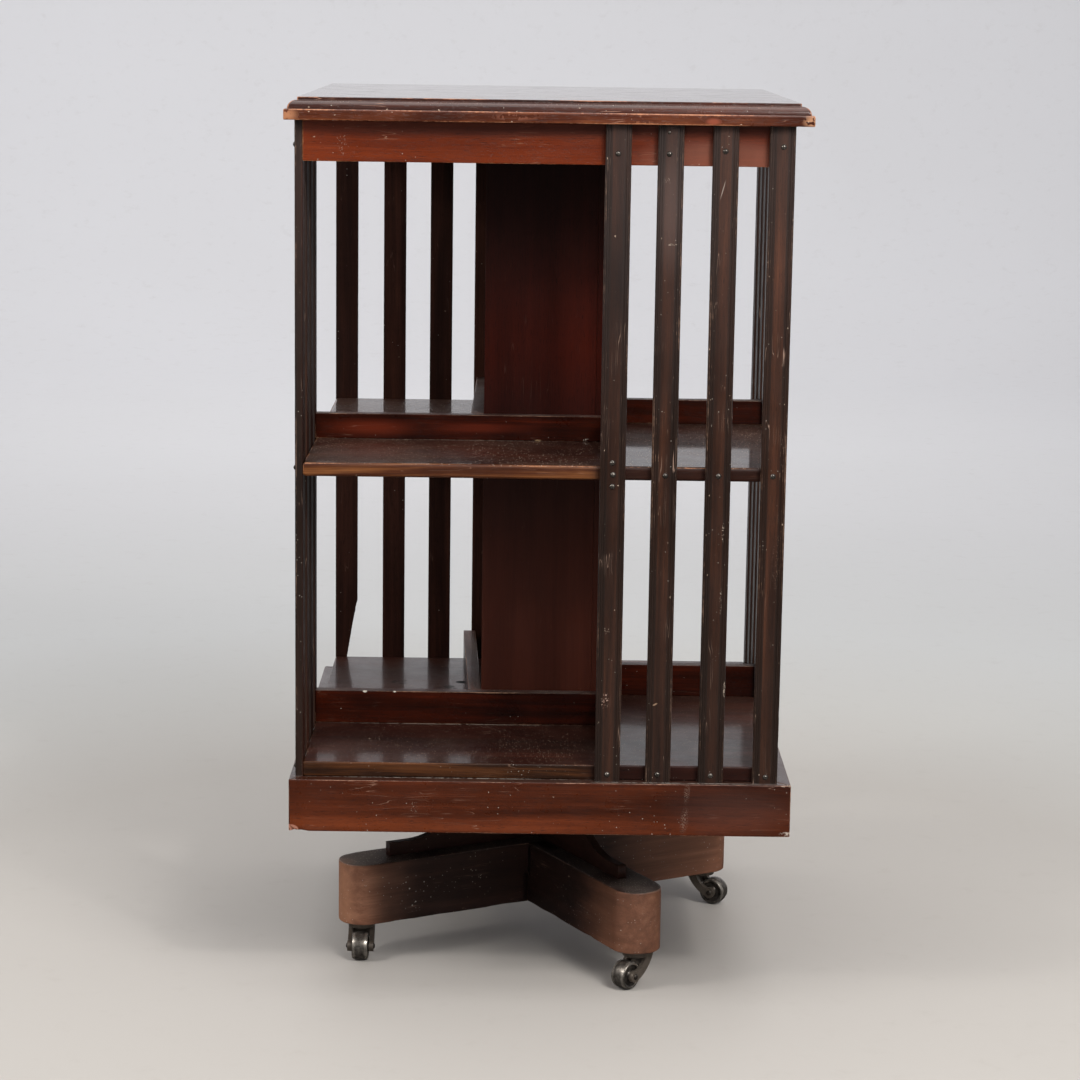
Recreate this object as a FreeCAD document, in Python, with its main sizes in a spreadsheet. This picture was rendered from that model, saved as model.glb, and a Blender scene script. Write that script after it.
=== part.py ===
import FreeCAD, Part
import Sketcher
import math
import os
from FreeCAD import Vector as V

# Revolving bookcase: a square two-tier case that turns on a fixed iron post,
# which stands on a cross-shaped foot with four small swivel casters.
#
# Frame: millimetres, +Z up, origin on the floor under the turning axis.
# The front face looks along -Y. Each face of the case is the front face
# turned by a quarter turn about Z, so the four bays go round like a pinwheel.

doc = FreeCAD.newDocument("revolving_bookcase")
sheet = doc.addObject("Spreadsheet::Sheet", "Sizes")

CELLS = [
    # alias, value, note
    ("plinth_low", 171.0, "height of the plinth's lower edge above the floor"),
    ("plinth_tall", 51.0, "height of the plinth boards"),
    ("plinth_half", 240.0, "half width over the plinth"),
    ("plinth_thick", 18.0, "thickness of the plinth boards"),
    ("board_half", 227.0, "half width of the bottom board and the shelf"),
    ("bottom_thick", 14.5, "thickness of the bottom board"),
    ("shelf_low", 513.0, "underside of the middle shelf above the floor"),
    ("shelf_thick", 13.5, "thickness of the middle shelf"),
    ("shelf_nose", 3.2, "rounding of the shelf's edge"),
    ("board_nose", 1.6, "rounding of the bottom board's edge"),
    ("arris", 0.8, "worn arris on sawn boards"),
    ("frieze_tall", 38.0, "height of the frieze rails"),
    ("frieze_thick", 16.0, "thickness of the frieze rails"),
    ("top_low", 845.5, "underside of the top board above the floor"),
    ("top_band", 10.0, "height of the square band of the top's edge"),
    ("top_band_half", 243.4, "half width over the band"),
    ("top_ovolo", 7.8, "height of the ovolo above the band"),
    ("top_ovolo_half", 240.2, "half width over the ovolo"),
    ("top_fillet", 3.0, "height of the small step above the ovolo"),
    ("top_fillet_half", 231.6, "half width over the step, which is the flat top"),
    ("slat_wide", 24.0, "width of a slat"),
    ("slat_thick", 8.0, "thickness of a slat"),
    ("slat_first", 64.2, "first slat's middle from the case's middle"),
    ("slat_second", 112.5, "second slat's middle from the case's middle"),
    ("slat_third", 163.0, "third slat's middle from the case's middle"),
    ("slat_corner", 215.0, "corner slat's middle from the case's middle"),
    ("core_half", 60.0, "half width of the hollow core"),
    ("core_thick", 9.0, "thickness of the core panels"),
    ("stop_thick", 13.0, "thickness of the book stops"),
    ("stop_upper", 25.0, "height of the upper tier's book stops"),
    ("stop_lower", 33.0, "height of the lower tier's book stops"),
    ("loose_angle", 2.4, "degrees that the loose lower stop stands out of line"),
    ("stud_radius", 2.7, "radius of a stud's round head"),
    ("stud_tall", 1.9, "height of a stud's head"),
    ("stud_shank", 1.1, "radius of a stud's shank"),
    ("stud_deep", 17.0, "length of a stud's shank"),
    ("collar_bore", 11.05, "radius of the guide collar's bore"),
    ("collar_out", 17.0, "radius of the collar's neck"),
    ("collar_flange", 32.0, "radius of the collar's flange"),
    ("collar_flange_thick", 3.0, "thickness of the collar's flange"),
    ("post_radius", 11.0, "radius of the pivot post"),
    ("post_flange", 50.0, "radius of the post's flange"),
    ("post_flange_thick", 6.0, "thickness of the post's flange"),
    ("post_tip", 8.0, "radius of the post's tip"),
    ("post_tip_top", 837.6, "height of the post's point above the floor"),
    ("cup_bore", 8.05, "radius of the pivot cup's bore"),
    ("cup_boss", 15.0, "radius of the cup's boss"),
    ("cup_plate", 32.0, "radius of the cup's plate"),
    ("foot_angle", -61.4, "degrees from +X to the front foot arm"),
    ("foot_reach", 226.0, "length of a foot arm from the middle"),
    ("foot_wide", 49.6, "width of a foot bar"),
    ("foot_low", 38.4, "underside of the foot bars above the floor"),
    ("foot_tall", 62.6, "height of the foot bars"),
    ("bearer_reach", 174.0, "length of a bearer from the middle"),
    ("bearer_thick", 9.5, "thickness of a bearer"),
    ("bearer_nose", 13.5, "height of a bearer's end"),
    ("bearer_tall", 95.0, "height of a bearer at the middle"),
    ("bearer_flat", 151.0, "where the hollow curve starts, from the middle"),
    ("bearer_hollow", 73.0, "radius of the hollow curve"),
    ("screw_ring", 38.0, "radius of the ring of flange screws"),
    ("caster_ring", 203.0, "distance of a caster's stem from the middle"),
    ("caster_trail", 14.5, "distance from stem to axle"),
    ("wheel_radius", 14.3, "radius of a caster wheel"),
    ("wheel_wide", 16.2, "width of a caster wheel"),
    ("wheel_bore", 2.55, "radius of the wheel's bore"),
    ("axle_radius", 2.5, "radius of an axle"),
    ("axle_head", 3.0, "radius of an axle's riveted head"),
    ("fork_wide", 26.2, "width over the fork's cheeks"),
    ("fork_gap", 17.2, "gap between the fork's cheeks"),
    ("fork_disc", 13.1, "radius of the fork's round top"),
    ("fork_top", 36.55, "top of the fork above the floor"),
    ("fork_bridge", 5.0, "thickness of the fork's round top"),
    ("fork_bore", 3.05, "radius of the fork's swivel hole"),
    ("stem_rivet", 3.0, "radius of the swivel rivet"),
    ("stem_radius", 4.0, "radius of a caster's stem"),
    ("stem_tall", 30.0, "length of a caster's stem in the foot"),
    ("turn_left", -91.0, "degrees from +X, the left caster's trail"),
    ("turn_front", -132.0, "degrees from +X, the front caster's trail"),
    ("turn_right", -28.0, "degrees from +X, the right caster's trail"),
    ("turn_back", 62.0, "degrees from +X, the back caster's trail"),
]

NUM = {}
for n, (alias, value, note) in enumerate(CELLS, start=1):
    sheet.set("A%d" % n, note)
    sheet.set("B%d" % n, repr(value))
    sheet.setAlias("B%d" % n, alias)
    NUM[alias] = value
doc.recompute()


class Dim:
    """A length made of sheet cells: its number and its expression."""

    def __init__(self, terms=None, plus=0.0):
        self.terms = dict(terms or {})
        self.plus = float(plus)

    def __add__(self, other):
        other = other if isinstance(other, Dim) else Dim(plus=other)
        terms = dict(self.terms)
        for k, c in other.terms.items():
            terms[k] = terms.get(k, 0.0) + c
        return Dim(terms, self.plus + other.plus)

    __radd__ = __add__

    def __mul__(self, c):
        return Dim({k: a * c for k, a in self.terms.items()}, self.plus * c)

    __rmul__ = __mul__

    def __neg__(self):
        return self * -1.0

    def __sub__(self, other):
        return self + (-other if isinstance(other, Dim) else -float(other))

    def __rsub__(self, other):
        return -self + other

    def __truediv__(self, c):
        return self * (1.0 / c)

    @property
    def v(self):
        return sum(NUM[k] * c for k, c in self.terms.items()) + self.plus

    @property
    def e(self):
        parts = ["%.9g * Sizes.%s" % (c, k) for k, c in self.terms.items() if c]
        if self.plus or not parts:
            parts.append("%.9g" % self.plus)
        return " + ".join(parts)


def S(alias):
    return Dim({alias: 1.0})


def D(x):
    return x if isinstance(x, Dim) else Dim(plus=x)


NODES = []


def keep(obj, label):
    obj.Label = label
    NODES.append(obj)
    return obj


def plane_of(body, role):
    return [f for f in body.Origin.OriginFeatures if f.Role == role][0]


def sketch_on(body, name, role, lift=None):
    sk = body.newObject("Sketcher::SketchObject", name)
    sk.AttachmentSupport = [(plane_of(body, role), "")]
    sk.MapMode = "FlatFace"
    if lift is not None:
        lift = D(lift)
        sk.AttachmentOffset = FreeCAD.Placement(V(0, 0, lift.v), FreeCAD.Rotation())
        if lift.terms:
            sk.setExpression("AttachmentOffset.Base.z", lift.e)
    return sk


def outline(sk, verts, arcs=None):
    """Closed outline. verts are (x, y) lengths, arcs maps the number of a
    span to the (x, y) of a point on its arc."""
    arcs = arcs or {}
    n = len(verts)
    base = sk.GeometryCount
    ends = []
    for i in range(n):
        a, b = verts[i], verts[(i + 1) % n]
        pa = V(D(a[0]).v, D(a[1]).v, 0)
        pb = V(D(b[0]).v, D(b[1]).v, 0)
        if i in arcs:
            m = arcs[i]
            pm = V(D(m[0]).v, D(m[1]).v, 0)
            turn = (pm - pa).cross(pb - pm).z
            if turn > 0:
                sk.addGeometry(Part.Arc(pa, pm, pb), False)
                ends.append((1, 2))
            else:
                sk.addGeometry(Part.Arc(pb, pm, pa), False)
                ends.append((2, 1))
        else:
            sk.addGeometry(Part.LineSegment(pa, pb), False)
            ends.append((1, 2))
    for i in range(n):
        j = (i + 1) % n
        sk.addConstraint(Sketcher.Constraint("Coincident", base + i, ends[i][1], base + j, ends[j][0]))
    for i in range(n):
        for kind, axis in (("DistanceX", 0), ("DistanceY", 1)):
            d = D(verts[i][axis])
            c = sk.addConstraint(Sketcher.Constraint(kind, -1, 1, base + i, ends[i][0], d.v))
            label = "p%d%s" % (base + i, "xy"[axis])
            sk.renameConstraint(c, label)
            if d.terms:
                sk.setExpression("Constraints." + label, d.e)
    for i in arcs:
        r = sk.Geometry[base + i].Radius
        sk.addConstraint(Sketcher.Constraint("Radius", base + i, r))


def rect(sk, x0, x1, y0, y1):
    outline(sk, [(x0, y0), (x1, y0), (x1, y1), (x0, y1)])


def circle(sk, x, y, r):
    x, y, r = D(x), D(y), D(r)
    base = sk.GeometryCount
    sk.addGeometry(Part.Circle(V(x.v, y.v, 0), V(0, 0, 1), r.v), False)
    c = sk.addConstraint(Sketcher.Constraint("Radius", base, r.v))
    sk.renameConstraint(c, "rad%d" % base)
    if r.terms:
        sk.setExpression("Constraints.rad%d" % base, r.e)
    for kind, d, tag in (("DistanceX", x, "cx"), ("DistanceY", y, "cy")):
        if abs(d.v) < 1e-9 and not d.terms:
            continue
        c = sk.addConstraint(Sketcher.Constraint(kind, -1, 1, base, 3, d.v))
        sk.renameConstraint(c, "%s%d" % (tag, base))
        if d.terms:
            sk.setExpression("Constraints.%s%d" % (tag, base), d.e)
    if abs(x.v) < 1e-9 and not x.terms and abs(y.v) < 1e-9 and not y.terms:
        sk.addConstraint(Sketcher.Constraint("Coincident", base, 3, -1, 1))


def pad(body, sk, length, name, midplane=False, reverse=False):
    f = body.newObject("PartDesign::Pad", name)
    f.Profile = sk
    length = D(length)
    f.Length = length.v
    if length.terms:
        f.setExpression("Length", length.e)
    if midplane:
        f.SideType = "Symmetric" if hasattr(f, "SideType") else 0
        if not hasattr(f, "SideType"):
            f.Midplane = True
    f.Reversed = reverse
    doc.recompute()
    return f


def pocket(body, sk, length, name, midplane=False, reverse=False):
    before = body.Shape.Volume
    f = body.newObject("PartDesign::Pocket", name)
    f.Profile = sk
    length = D(length)
    f.Length = length.v
    if length.terms:
        f.setExpression("Length", length.e)
    if midplane:
        f.SideType = "Symmetric" if hasattr(f, "SideType") else 0
        if not hasattr(f, "SideType"):
            f.Midplane = True
    f.Reversed = reverse
    doc.recompute()
    if not body.Shape.Volume < before - 0.5:
        raise RuntimeError("%s cuts nothing" % name)
    return f


def edges_where(feature, test):
    out = []
    for i, e in enumerate(feature.Shape.Edges, start=1):
        mid = e.valueAt((e.FirstParameter + e.LastParameter) / 2.0)
        a = e.Vertexes[0].Point
        b = e.Vertexes[-1].Point
        if test(mid, a, b):
            out.append("Edge%d" % i)
    return out


def round_edges(body, feature, names, size, name):
    if not names:
        raise RuntimeError("%s has no edges" % name)
    f = body.newObject("PartDesign::Fillet", name)
    f.Base = (feature, names)
    size = D(size)
    f.Radius = size.v
    if size.terms:
        f.setExpression("Radius", size.e)
    doc.recompute()
    return f


def revolve(body, sk, name):
    f = body.newObject("PartDesign::Revolution", name)
    f.Profile = sk
    f.ReferenceAxis = (sk, ["V_Axis"])
    f.Angle = 360.0
    doc.recompute()
    return f


def place(obj, x=0.0, y=0.0, z=0.0, turn=0.0, turn_cell=None):
    """Position and turn about Z; lengths may come from the sheet."""
    x, y, z = D(x), D(y), D(z)
    obj.Placement = FreeCAD.Placement(V(x.v, y.v, z.v), FreeCAD.Rotation(V(0, 0, 1), turn))
    for path, d in (("Placement.Base.x", x), ("Placement.Base.y", y), ("Placement.Base.z", z)):
        if d.terms:
            obj.setExpression(path, d.e)
    if turn_cell:
        obj.setExpression("Placement.Rotation.Angle", turn_cell)


def quarter(x, y, k):
    """(x, y) turned by k quarter turns about Z."""
    x, y = D(x), D(y)
    for _ in range(k):
        x, y = -y, x
    return x, y


def cap_mid(r, h):
    """Point half way along the arc of a domed head of radius r and height h,
    as distance from the axis and height above the head's base."""
    big = (r * r + h * h) / (2.0 * h)
    half = math.asin(r / big) / 2.0
    return big * math.sin(half), big * math.cos(half) - (big - h)


FACES = ["front", "right", "back", "left"]
SLAT_CELLS = ["slat_first", "slat_second", "slat_third", "slat_corner"]

# ---------------------------------------------------------------- case boards


def near(a, b):
    return abs(a - b) < 1e-3


def make_top():
    body = doc.addObject("PartDesign::Body", "TopBoard")
    sk = sketch_on(body, "TopBand", "XY_Plane")
    hb = S("top_band_half")
    rect(sk, -hb, hb, -hb, hb)
    p1 = pad(body, sk, S("top_band"), "TopBandPad")
    zb = S("top_band").v
    f1 = round_edges(body, p1, edges_where(p1, lambda m, a, b: near(m.z, zb)), 2.6, "TopBandUpperRound")
    f2 = round_edges(body, f1, edges_where(f1, lambda m, a, b: near(m.z, 0.0)), 1.5, "TopBandLowerRound")
    sk2 = sketch_on(body, "TopOvolo", "XY_Plane", S("top_band"))
    ho = S("top_ovolo_half")
    rect(sk2, -ho, ho, -ho, ho)
    p2 = pad(body, sk2, S("top_ovolo"), "TopOvoloPad")
    zo = (S("top_band") + S("top_ovolo")).v
    f3 = round_edges(body, p2, edges_where(p2, lambda m, a, b: near(m.z, zo) and max(abs(m.x), abs(m.y)) > ho.v - 0.01),
                     S("top_ovolo") - 0.1, "TopOvoloRound")
    sk3 = sketch_on(body, "TopStep", "XY_Plane", S("top_band") + S("top_ovolo"))
    hf = S("top_fillet_half")
    rect(sk3, -hf, hf, -hf, hf)
    p3 = pad(body, sk3, S("top_fillet"), "TopStepPad")
    zt = (S("top_band") + S("top_ovolo") + S("top_fillet")).v
    round_edges(body, p3, edges_where(p3, lambda m, a, b: near(m.z, zt)), 0.7, "TopStepRound")
    place(body, z=S("top_low"))
    keep(body, "top_board")


def make_frieze(k):
    body = doc.addObject("PartDesign::Body", "Frieze_" + FACES[k])
    sk = sketch_on(body, "FriezePlan_" + FACES[k], "XY_Plane")
    w, th = S("board_half"), S("frieze_thick")
    rect(sk, -w, w - th, -w, th - w)
    p = pad(body, sk, S("frieze_tall"), "FriezePad_" + FACES[k])
    round_edges(body, p, edges_where(p, lambda m, a, b: near(m.z, 0.0) and near(a.y, b.y)), S("arris"), "FriezeArris_" + FACES[k])
    place(body, z=S("top_low") - S("frieze_tall"), turn=90.0 * k)
    keep(body, "frieze_" + FACES[k])


def make_flat_board(label, z, thick, nose, hole):
    body = doc.addObject("PartDesign::Body", label.title().replace("_", ""))
    sk = sketch_on(body, label + "_plan", "XY_Plane")
    w = S("board_half")
    rect(sk, -w, w, -w, w)
    p = pad(body, sk, thick, label + "_pad")
    t = D(thick).v
    f = round_edges(body, p, edges_where(p, lambda m, a, b: near(m.z, 0.0) or near(m.z, t)), nose, label + "_nose")
    sk2 = sketch_on(body, label + "_hole", "XY_Plane")
    circle(sk2, 0, 0, hole)
    pocket(body, sk2, D(thick) + 1.0, label + "_bore", reverse=True)
    place(body, z=z)
    keep(body, label)


def make_plinth(k):
    body = doc.addObject("PartDesign::Body", "Plinth_" + FACES[k])
    sk = sketch_on(body, "PlinthPlan_" + FACES[k], "XY_Plane")
    o, th = S("plinth_half"), S("plinth_thick")
    i = o - th
    outline(sk, [(-o, -o), (o, -o), (i, -i), (-i, -i)])
    p = pad(body, sk, S("plinth_tall"), "PlinthPad_" + FACES[k])
    top = S("plinth_tall").v
    round_edges(body, p, edges_where(p, lambda m, a, b: near(m.y, -o.v) and (near(m.z, 0.0) or near(m.z, top))),
                1.3, "PlinthArris_" + FACES[k])
    place(body, z=S("plinth_low"), turn=90.0 * k)
    keep(body, "plinth_" + FACES[k])


def slat_outline():
    """Section of a slat, outer face towards -Y: a flat raised middle between
    a groove and a bead on each side, and a rounded outer arris."""
    hw = S("slat_wide") / 2
    yo = -S("board_half") - S("slat_thick")
    yi = -S("board_half")
    pts = [
        (-hw, yi), (-hw, yo + 2.2), (-hw + 1.9, yo + 0.5), (-hw + 2.3, yo + 1.3),
        (-hw + 4.7, yo + 1.3), (-hw + 5.1, yo + 0.05), (-hw + 5.5, yo),
        (hw - 5.5, yo), (hw - 5.1, yo + 0.05), (hw - 4.7, yo + 1.3),
        (hw - 2.3, yo + 1.3), (hw - 1.9, yo + 0.5), (hw, yo + 2.2), (hw, yi),
    ]
    # spans: 1 edge arris, 3 bead, 9 bead, 11 edge arris
    arcs = {
        1: (-hw + 0.55, yo + 0.95),
        3: (-hw + 3.5, yo + 0.25),
        9: (hw - 3.5, yo + 0.25),
        11: (hw - 0.55, yo + 0.95),
    }
    return pts, arcs


def make_slat(k, n):
    tag = "%s_%d" % (FACES[k], n)
    body = doc.addObject("PartDesign::Body", "Slat_" + tag)
    sk = sketch_on(body, "SlatSection_" + tag, "XY_Plane")
    pts, arcs = slat_outline()
    outline(sk, pts, arcs)
    tall = S("top_low") - S("plinth_low") - S("plinth_tall")
    pad(body, sk, tall, "SlatPad_" + tag)
    if (k, n) == (2, 4):
        # the lower end of this slat has split away on its inner side
        sk2 = sketch_on(body, "SlatSplit_" + tag, "XZ_Plane")
        hw = S("slat_wide") / 2
        outline(sk2, [(-hw - 1, -1), (-hw + 12.9, -1), (-hw + 11.6, 13.8), (-hw + 6.2, 47), (-hw + 1.2, 74),
                      (-hw - 1, 80.0)])
        pocket(body, sk2, 300.0, "SlatSplitCut_" + tag, reverse=True)
    c = S(SLAT_CELLS[n - 1])
    x, y = quarter(c, 0, k)
    place(body, x=x, y=y, z=S("plinth_low") + S("plinth_tall"), turn=90.0 * k)
    keep(body, "slat_" + tag)


def make_core(k):
    parts = []
    bottom = S("plinth_low") + S("plinth_tall") + S("bottom_thick")
    for tier, low, high in (("lower", bottom, S("shelf_low")),
                            ("upper", S("shelf_low") + S("shelf_thick"), S("top_low"))):
        tag = "%s_%s" % (FACES[k], tier)
        body = doc.addObject("PartDesign::Body", "CoreBoard_" + tag)
        sk = sketch_on(body, "CorePlan_" + tag, "XY_Plane")
        w, th = S("core_half"), S("core_thick")
        rect(sk, -w, w - th, -w, th - w)
        pad(body, sk, high - low, "CorePad_" + tag)
        place(body, z=low, turn=90.0 * k)
        body.Label = "core_board_" + tag
        parts.append(body)
    group = doc.addObject("Part::Compound", "CorePanel_" + FACES[k])
    group.Links = parts
    keep(group, "core_panel_" + FACES[k])


def make_stop(k, tier):
    tag = "%s_%s" % (tier, FACES[k])
    bottom = S("plinth_low") + S("plinth_tall") + S("bottom_thick")
    tall = S("stop_upper") if tier == "upper" else S("stop_lower")
    low = S("shelf_low") + S("shelf_thick") if tier == "upper" else bottom
    body = doc.addObject("PartDesign::Body", "BookStop_" + tag)
    sk = sketch_on(body, "StopPlan_" + tag, "XY_Plane")
    w, th, b = S("core_half"), S("stop_thick"), S("board_half")
    loose = (k, tier) == (3, "lower")
    if not loose:
        rect(sk, -b, w, -w - th, -w)
    else:
        # drawn from its near outer corner, about which it has swung out
        rect(sk, -(b + w) + 7.0, 0, 0, th)
    p = pad(body, sk, tall, "StopPad_" + tag)
    top = tall.v
    round_edges(body, p, edges_where(p, lambda m, a, b_: near(m.z, top)), S("arris"), "StopArris_" + tag)
    if not loose:
        place(body, z=low, turn=90.0 * k)
    else:
        place(body, x=-w - th, y=-w, z=low, turn=270.0 + NUM["loose_angle"])
        body.setExpression("Placement.Rotation.Angle", "270 + Sizes.loose_angle")
    keep(body, "book_stop_" + tag)


make_top()
for k in range(4):
    make_frieze(k)
make_flat_board("middle_shelf", S("shelf_low"), S("shelf_thick"), S("shelf_nose"), 20.0)
make_flat_board("bottom_board", S("plinth_low") + S("plinth_tall"), S("bottom_thick"), S("board_nose"), S("collar_out") + 0.05)
for k in range(4):
    make_plinth(k)
for k in range(4):
    for n in range(1, 5):
        make_slat(k, n)
for k in range(4):
    make_core(k)
for tier in ("upper", "lower"):
    for k in range(4):
        make_stop(k, tier)

# -------------------------------------------------------------- slat studs


def make_studs():
    r, tall, shank, deep = NUM["stud_radius"], NUM["stud_tall"], NUM["stud_shank"], NUM["stud_deep"]
    face = NUM["board_half"] + NUM["slat_thick"]
    z_shelf = NUM["shelf_low"] + NUM["shelf_thick"] / 2.0
    z_board = NUM["plinth_low"] + NUM["plinth_tall"] + NUM["bottom_thick"] / 2.0

    def stud(x, z, k, size=1.0, length=deep):
        # domed head on the slat's face and a shank behind it
        rr, tt = r * size, tall * size
        mx, mz = cap_mid(rr, tt)
        a, m, b = V(rr, 0, 0), V(mx, 0, mz), V(0, 0, tt)
        sh = shank * size
        edges = [Part.makeLine(V(0, 0, -length), V(sh, 0, -length)),
                 Part.makeLine(V(sh, 0, -length), V(sh, 0, 0)),
                 Part.makeLine(V(sh, 0, 0), a),
                 Part.Arc(a, m, b).toShape(),
                 Part.makeLine(b, V(0, 0, -length))]
        solid = Part.Face(Part.Wire(edges)).revolve(V(0, 0, 0), V(0, 0, 1), 360.0)
        if solid.Volume < 0:
            solid.reverse()
        # head looks along -Y on the front face
        solid.rotate(V(0, 0, 0), V(1, 0, 0), 90.0)
        solid.translate(V(x, -face, z))
        solid.rotate(V(0, 0, 0), V(0, 0, 1), 90.0 * k)
        return solid

    # height of the uppermost stud on each slat, a little uneven by hand
    heads = {0: [818.5, 818.8, 821.8, 826.5], 1: [820.0, 824.0, 819.0, 822.5],
             2: [822.0, 819.5, 823.5, 820.5], 3: [821.0, 818.0, 824.5, 822.0]}
    drift = {0: [-0.4, -1.6, -0.6, 0.8], 1: [0.6, -0.8, 0.3, -0.5],
             2: [-0.7, 0.9, -0.2, 0.5], 3: [0.4, -0.6, 1.0, -0.3]}
    solids = []
    for k in range(4):
        for n in range(4):
            c = NUM[SLAT_CELLS[n]]
            dx = drift[k][n]
            solids.append(stud(c + dx, heads[k][n], k))
            solids.append(stud(c - 0.6 * dx, z_shelf + 0.3 * dx, k))
            solids.append(stud(c + 0.4 * dx, z_board - 0.5 * dx, k))
    # two more on the first front slat, above and below the shelf, and a
    # small nail near the head of the second
    first = NUM["slat_first"]
    solids.append(stud(first - 0.5, z_shelf + 11.2, 0, length=7.0))
    solids.append(stud(first - 0.2, z_shelf - 11.2, 0, length=7.0))
    solids.append(stud(NUM["slat_second"] - 2.2, 838.4, 0, size=0.55, length=9.0))
    obj = doc.addObject("Part::Feature", "SlatStuds")
    obj.Shape = Part.makeCompound(solids)
    obj.Placement = FreeCAD.Placement()
    keep(obj, "slat_studs")


make_studs()

# ------------------------------------------------------ pivot cup and collar


def turned(label, verts, arcs=None, z=0.0):
    body = doc.addObject("PartDesign::Body", label.title().replace("_", ""))
    sk = sketch_on(body, label + "_half_section", "XZ_Plane")
    outline(sk, verts, arcs)
    revolve(body, sk, label + "_turned")
    place(body, z=z)
    return body


top_low = S("top_low")
# the cup: a plate under the top board, a boss, and a socket with a cone
cup_apex = 838.0
cup = turned("pivot_cup", [
    (0, cup_apex), (S("cup_bore"), 832.0), (S("cup_bore"), 824.0), (S("cup_boss"), 824.0),
    (S("cup_boss"), top_low - 4.0), (S("cup_plate"), top_low - 4.0), (S("cup_plate"), top_low), (0, top_low)])
keep(cup, "pivot_cup")

board_low = S("plinth_low") + S("plinth_tall")
collar = turned("guide_collar", [
    (S("collar_bore"), board_low - S("collar_flange_thick")),
    (S("collar_flange"), board_low - S("collar_flange_thick")),
    (S("collar_flange"), board_low),
    (S("collar_out"), board_low),
    (S("collar_out"), board_low + S("bottom_thick")),
    (S("collar_bore"), board_low + S("bottom_thick"))])
keep(collar, "guide_collar")

# ------------------------------------------------------------------- the foot


def make_foot_bar(label, turn_expr, turn, notch_top):
    body = doc.addObject("PartDesign::Body", label.title().replace("_", ""))
    sk = sketch_on(body, label + "_plan", "XY_Plane")
    reach, hw = S("foot_reach"), S("foot_wide") / 2
    c = reach - hw * 0.9
    outline(sk, [(-c, -hw), (c, -hw), (c, hw), (-c, hw)], {1: (reach, 0), 3: (-reach, 0)})
    p = pad(body, sk, S("foot_tall"), label + "_pad")
    top = S("foot_tall").v
    f = round_edges(body, p, edges_where(p, lambda m, a, b: near(m.z, 0.0) or near(m.z, top)), 1.6, label + "_arris")
    # half lap where the two bars cross
    sk2 = sketch_on(body, label + "_lap", "XY_Plane", S("foot_tall") / 2)
    rect(sk2, -hw, hw, -hw - 1, hw + 1)
    pocket(body, sk2, S("foot_tall"), label + "_lap_cut", reverse=notch_top)
    # holes for the caster stems
    sk3 = sketch_on(body, label + "_stem_holes", "XY_Plane")
    ring = S("caster_ring")
    circle(sk3, ring, 0, S("stem_radius") + 0.05)
    circle(sk3, -ring, 0, S("stem_radius") + 0.05)
    pocket(body, sk3, S("stem_tall") + 1.0, label + "_stem_bore", reverse=True)
    place(body, z=S("foot_low"), turn=turn)
    body.setExpression("Placement.Rotation.Angle", turn_expr)
    keep(body, label)
    return body


A0 = NUM["foot_angle"]
make_foot_bar("foot_bar_long", "Sizes.foot_angle + 360", A0 + 360.0, True)
make_foot_bar("foot_bar_cross", "Sizes.foot_angle + 90", A0 + 90.0, False)


def make_bearer(tag, turn_expr, turn, notch_top):
    body = doc.addObject("PartDesign::Body", "Bearer_" + tag)
    sk = sketch_on(body, "BearerFace_" + tag, "XZ_Plane")
    reach, nose, flat, hol, tall = S("bearer_reach"), S("bearer_nose"), S("bearer_flat"), S("bearer_hollow"), S("bearer_tall")
    inner = flat - hol
    q = math.sin(math.radians(45.0))
    mid_x, mid_z = flat - hol * q, nose + hol * (1.0 - q)
    outline(sk, [(-reach, 0), (reach, 0), (reach, nose), (flat, nose), (inner, nose + hol), (inner, tall),
                 (-inner, tall), (-inner, nose + hol), (-flat, nose), (-reach, nose)],
            {3: (mid_x, mid_z), 7: (-mid_x, mid_z)})
    pad(body, sk, S("bearer_thick"), "BearerPad_" + tag, midplane=True)
    sk2 = sketch_on(body, "BearerLap_" + tag, "XZ_Plane")
    ht = S("bearer_thick") / 2
    if notch_top:
        rect(sk2, -ht, ht, tall / 2, tall + 1)
    else:
        rect(sk2, -ht, ht, -1, tall / 2)
    pocket(body, sk2, 60.0, "BearerLapCut_" + tag, midplane=True)
    place(body, z=S("foot_low") + S("foot_tall"), turn=turn)
    body.setExpression("Placement.Rotation.Angle", turn_expr)
    body.Label = "bearer_" + tag
    return body


pair = doc.addObject("Part::Compound", "BearerPair")
pair.Links = [make_bearer("long", "Sizes.foot_angle + 360", A0 + 360.0, True),
              make_bearer("cross", "Sizes.foot_angle + 90", A0 + 90.0, False)]
keep(pair, "bearers")

# the post: flange, shaft, neck and point in one turned piece
flange_low = S("foot_low") + S("foot_tall") + S("bearer_tall")
post = turned("pivot_post", [
    (0, flange_low), (S("post_flange"), flange_low), (S("post_flange"), flange_low + S("post_flange_thick") - 1.0),
    (S("post_flange") - 1.0, flange_low + S("post_flange_thick")),
    (S("post_radius") + 5.0, flange_low + S("post_flange_thick")),
    (S("post_radius"), flange_low + S("post_flange_thick") + 5.0),
    (S("post_radius"), 814.0), (S("post_tip"), 818.0), (S("post_tip"), 831.6), (0, S("post_tip_top"))],
    {4: (S("post_radius") + 1.5, flange_low + S("post_flange_thick") + 1.5)})
# four holes for the flange's screws
sk_holes = sketch_on(post, "pivot_post_screw_holes", "XY_Plane", flange_low)
ring = S("screw_ring")
for k in range(4):
    a = math.radians(A0 + 90.0 * k)
    circle(sk_holes, ring * math.cos(a), ring * math.sin(a), 2.4)
pocket(post, sk_holes, S("post_flange_thick") + 1.0, "pivot_post_screw_bores", reverse=True)
keep(post, "pivot_post")


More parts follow.
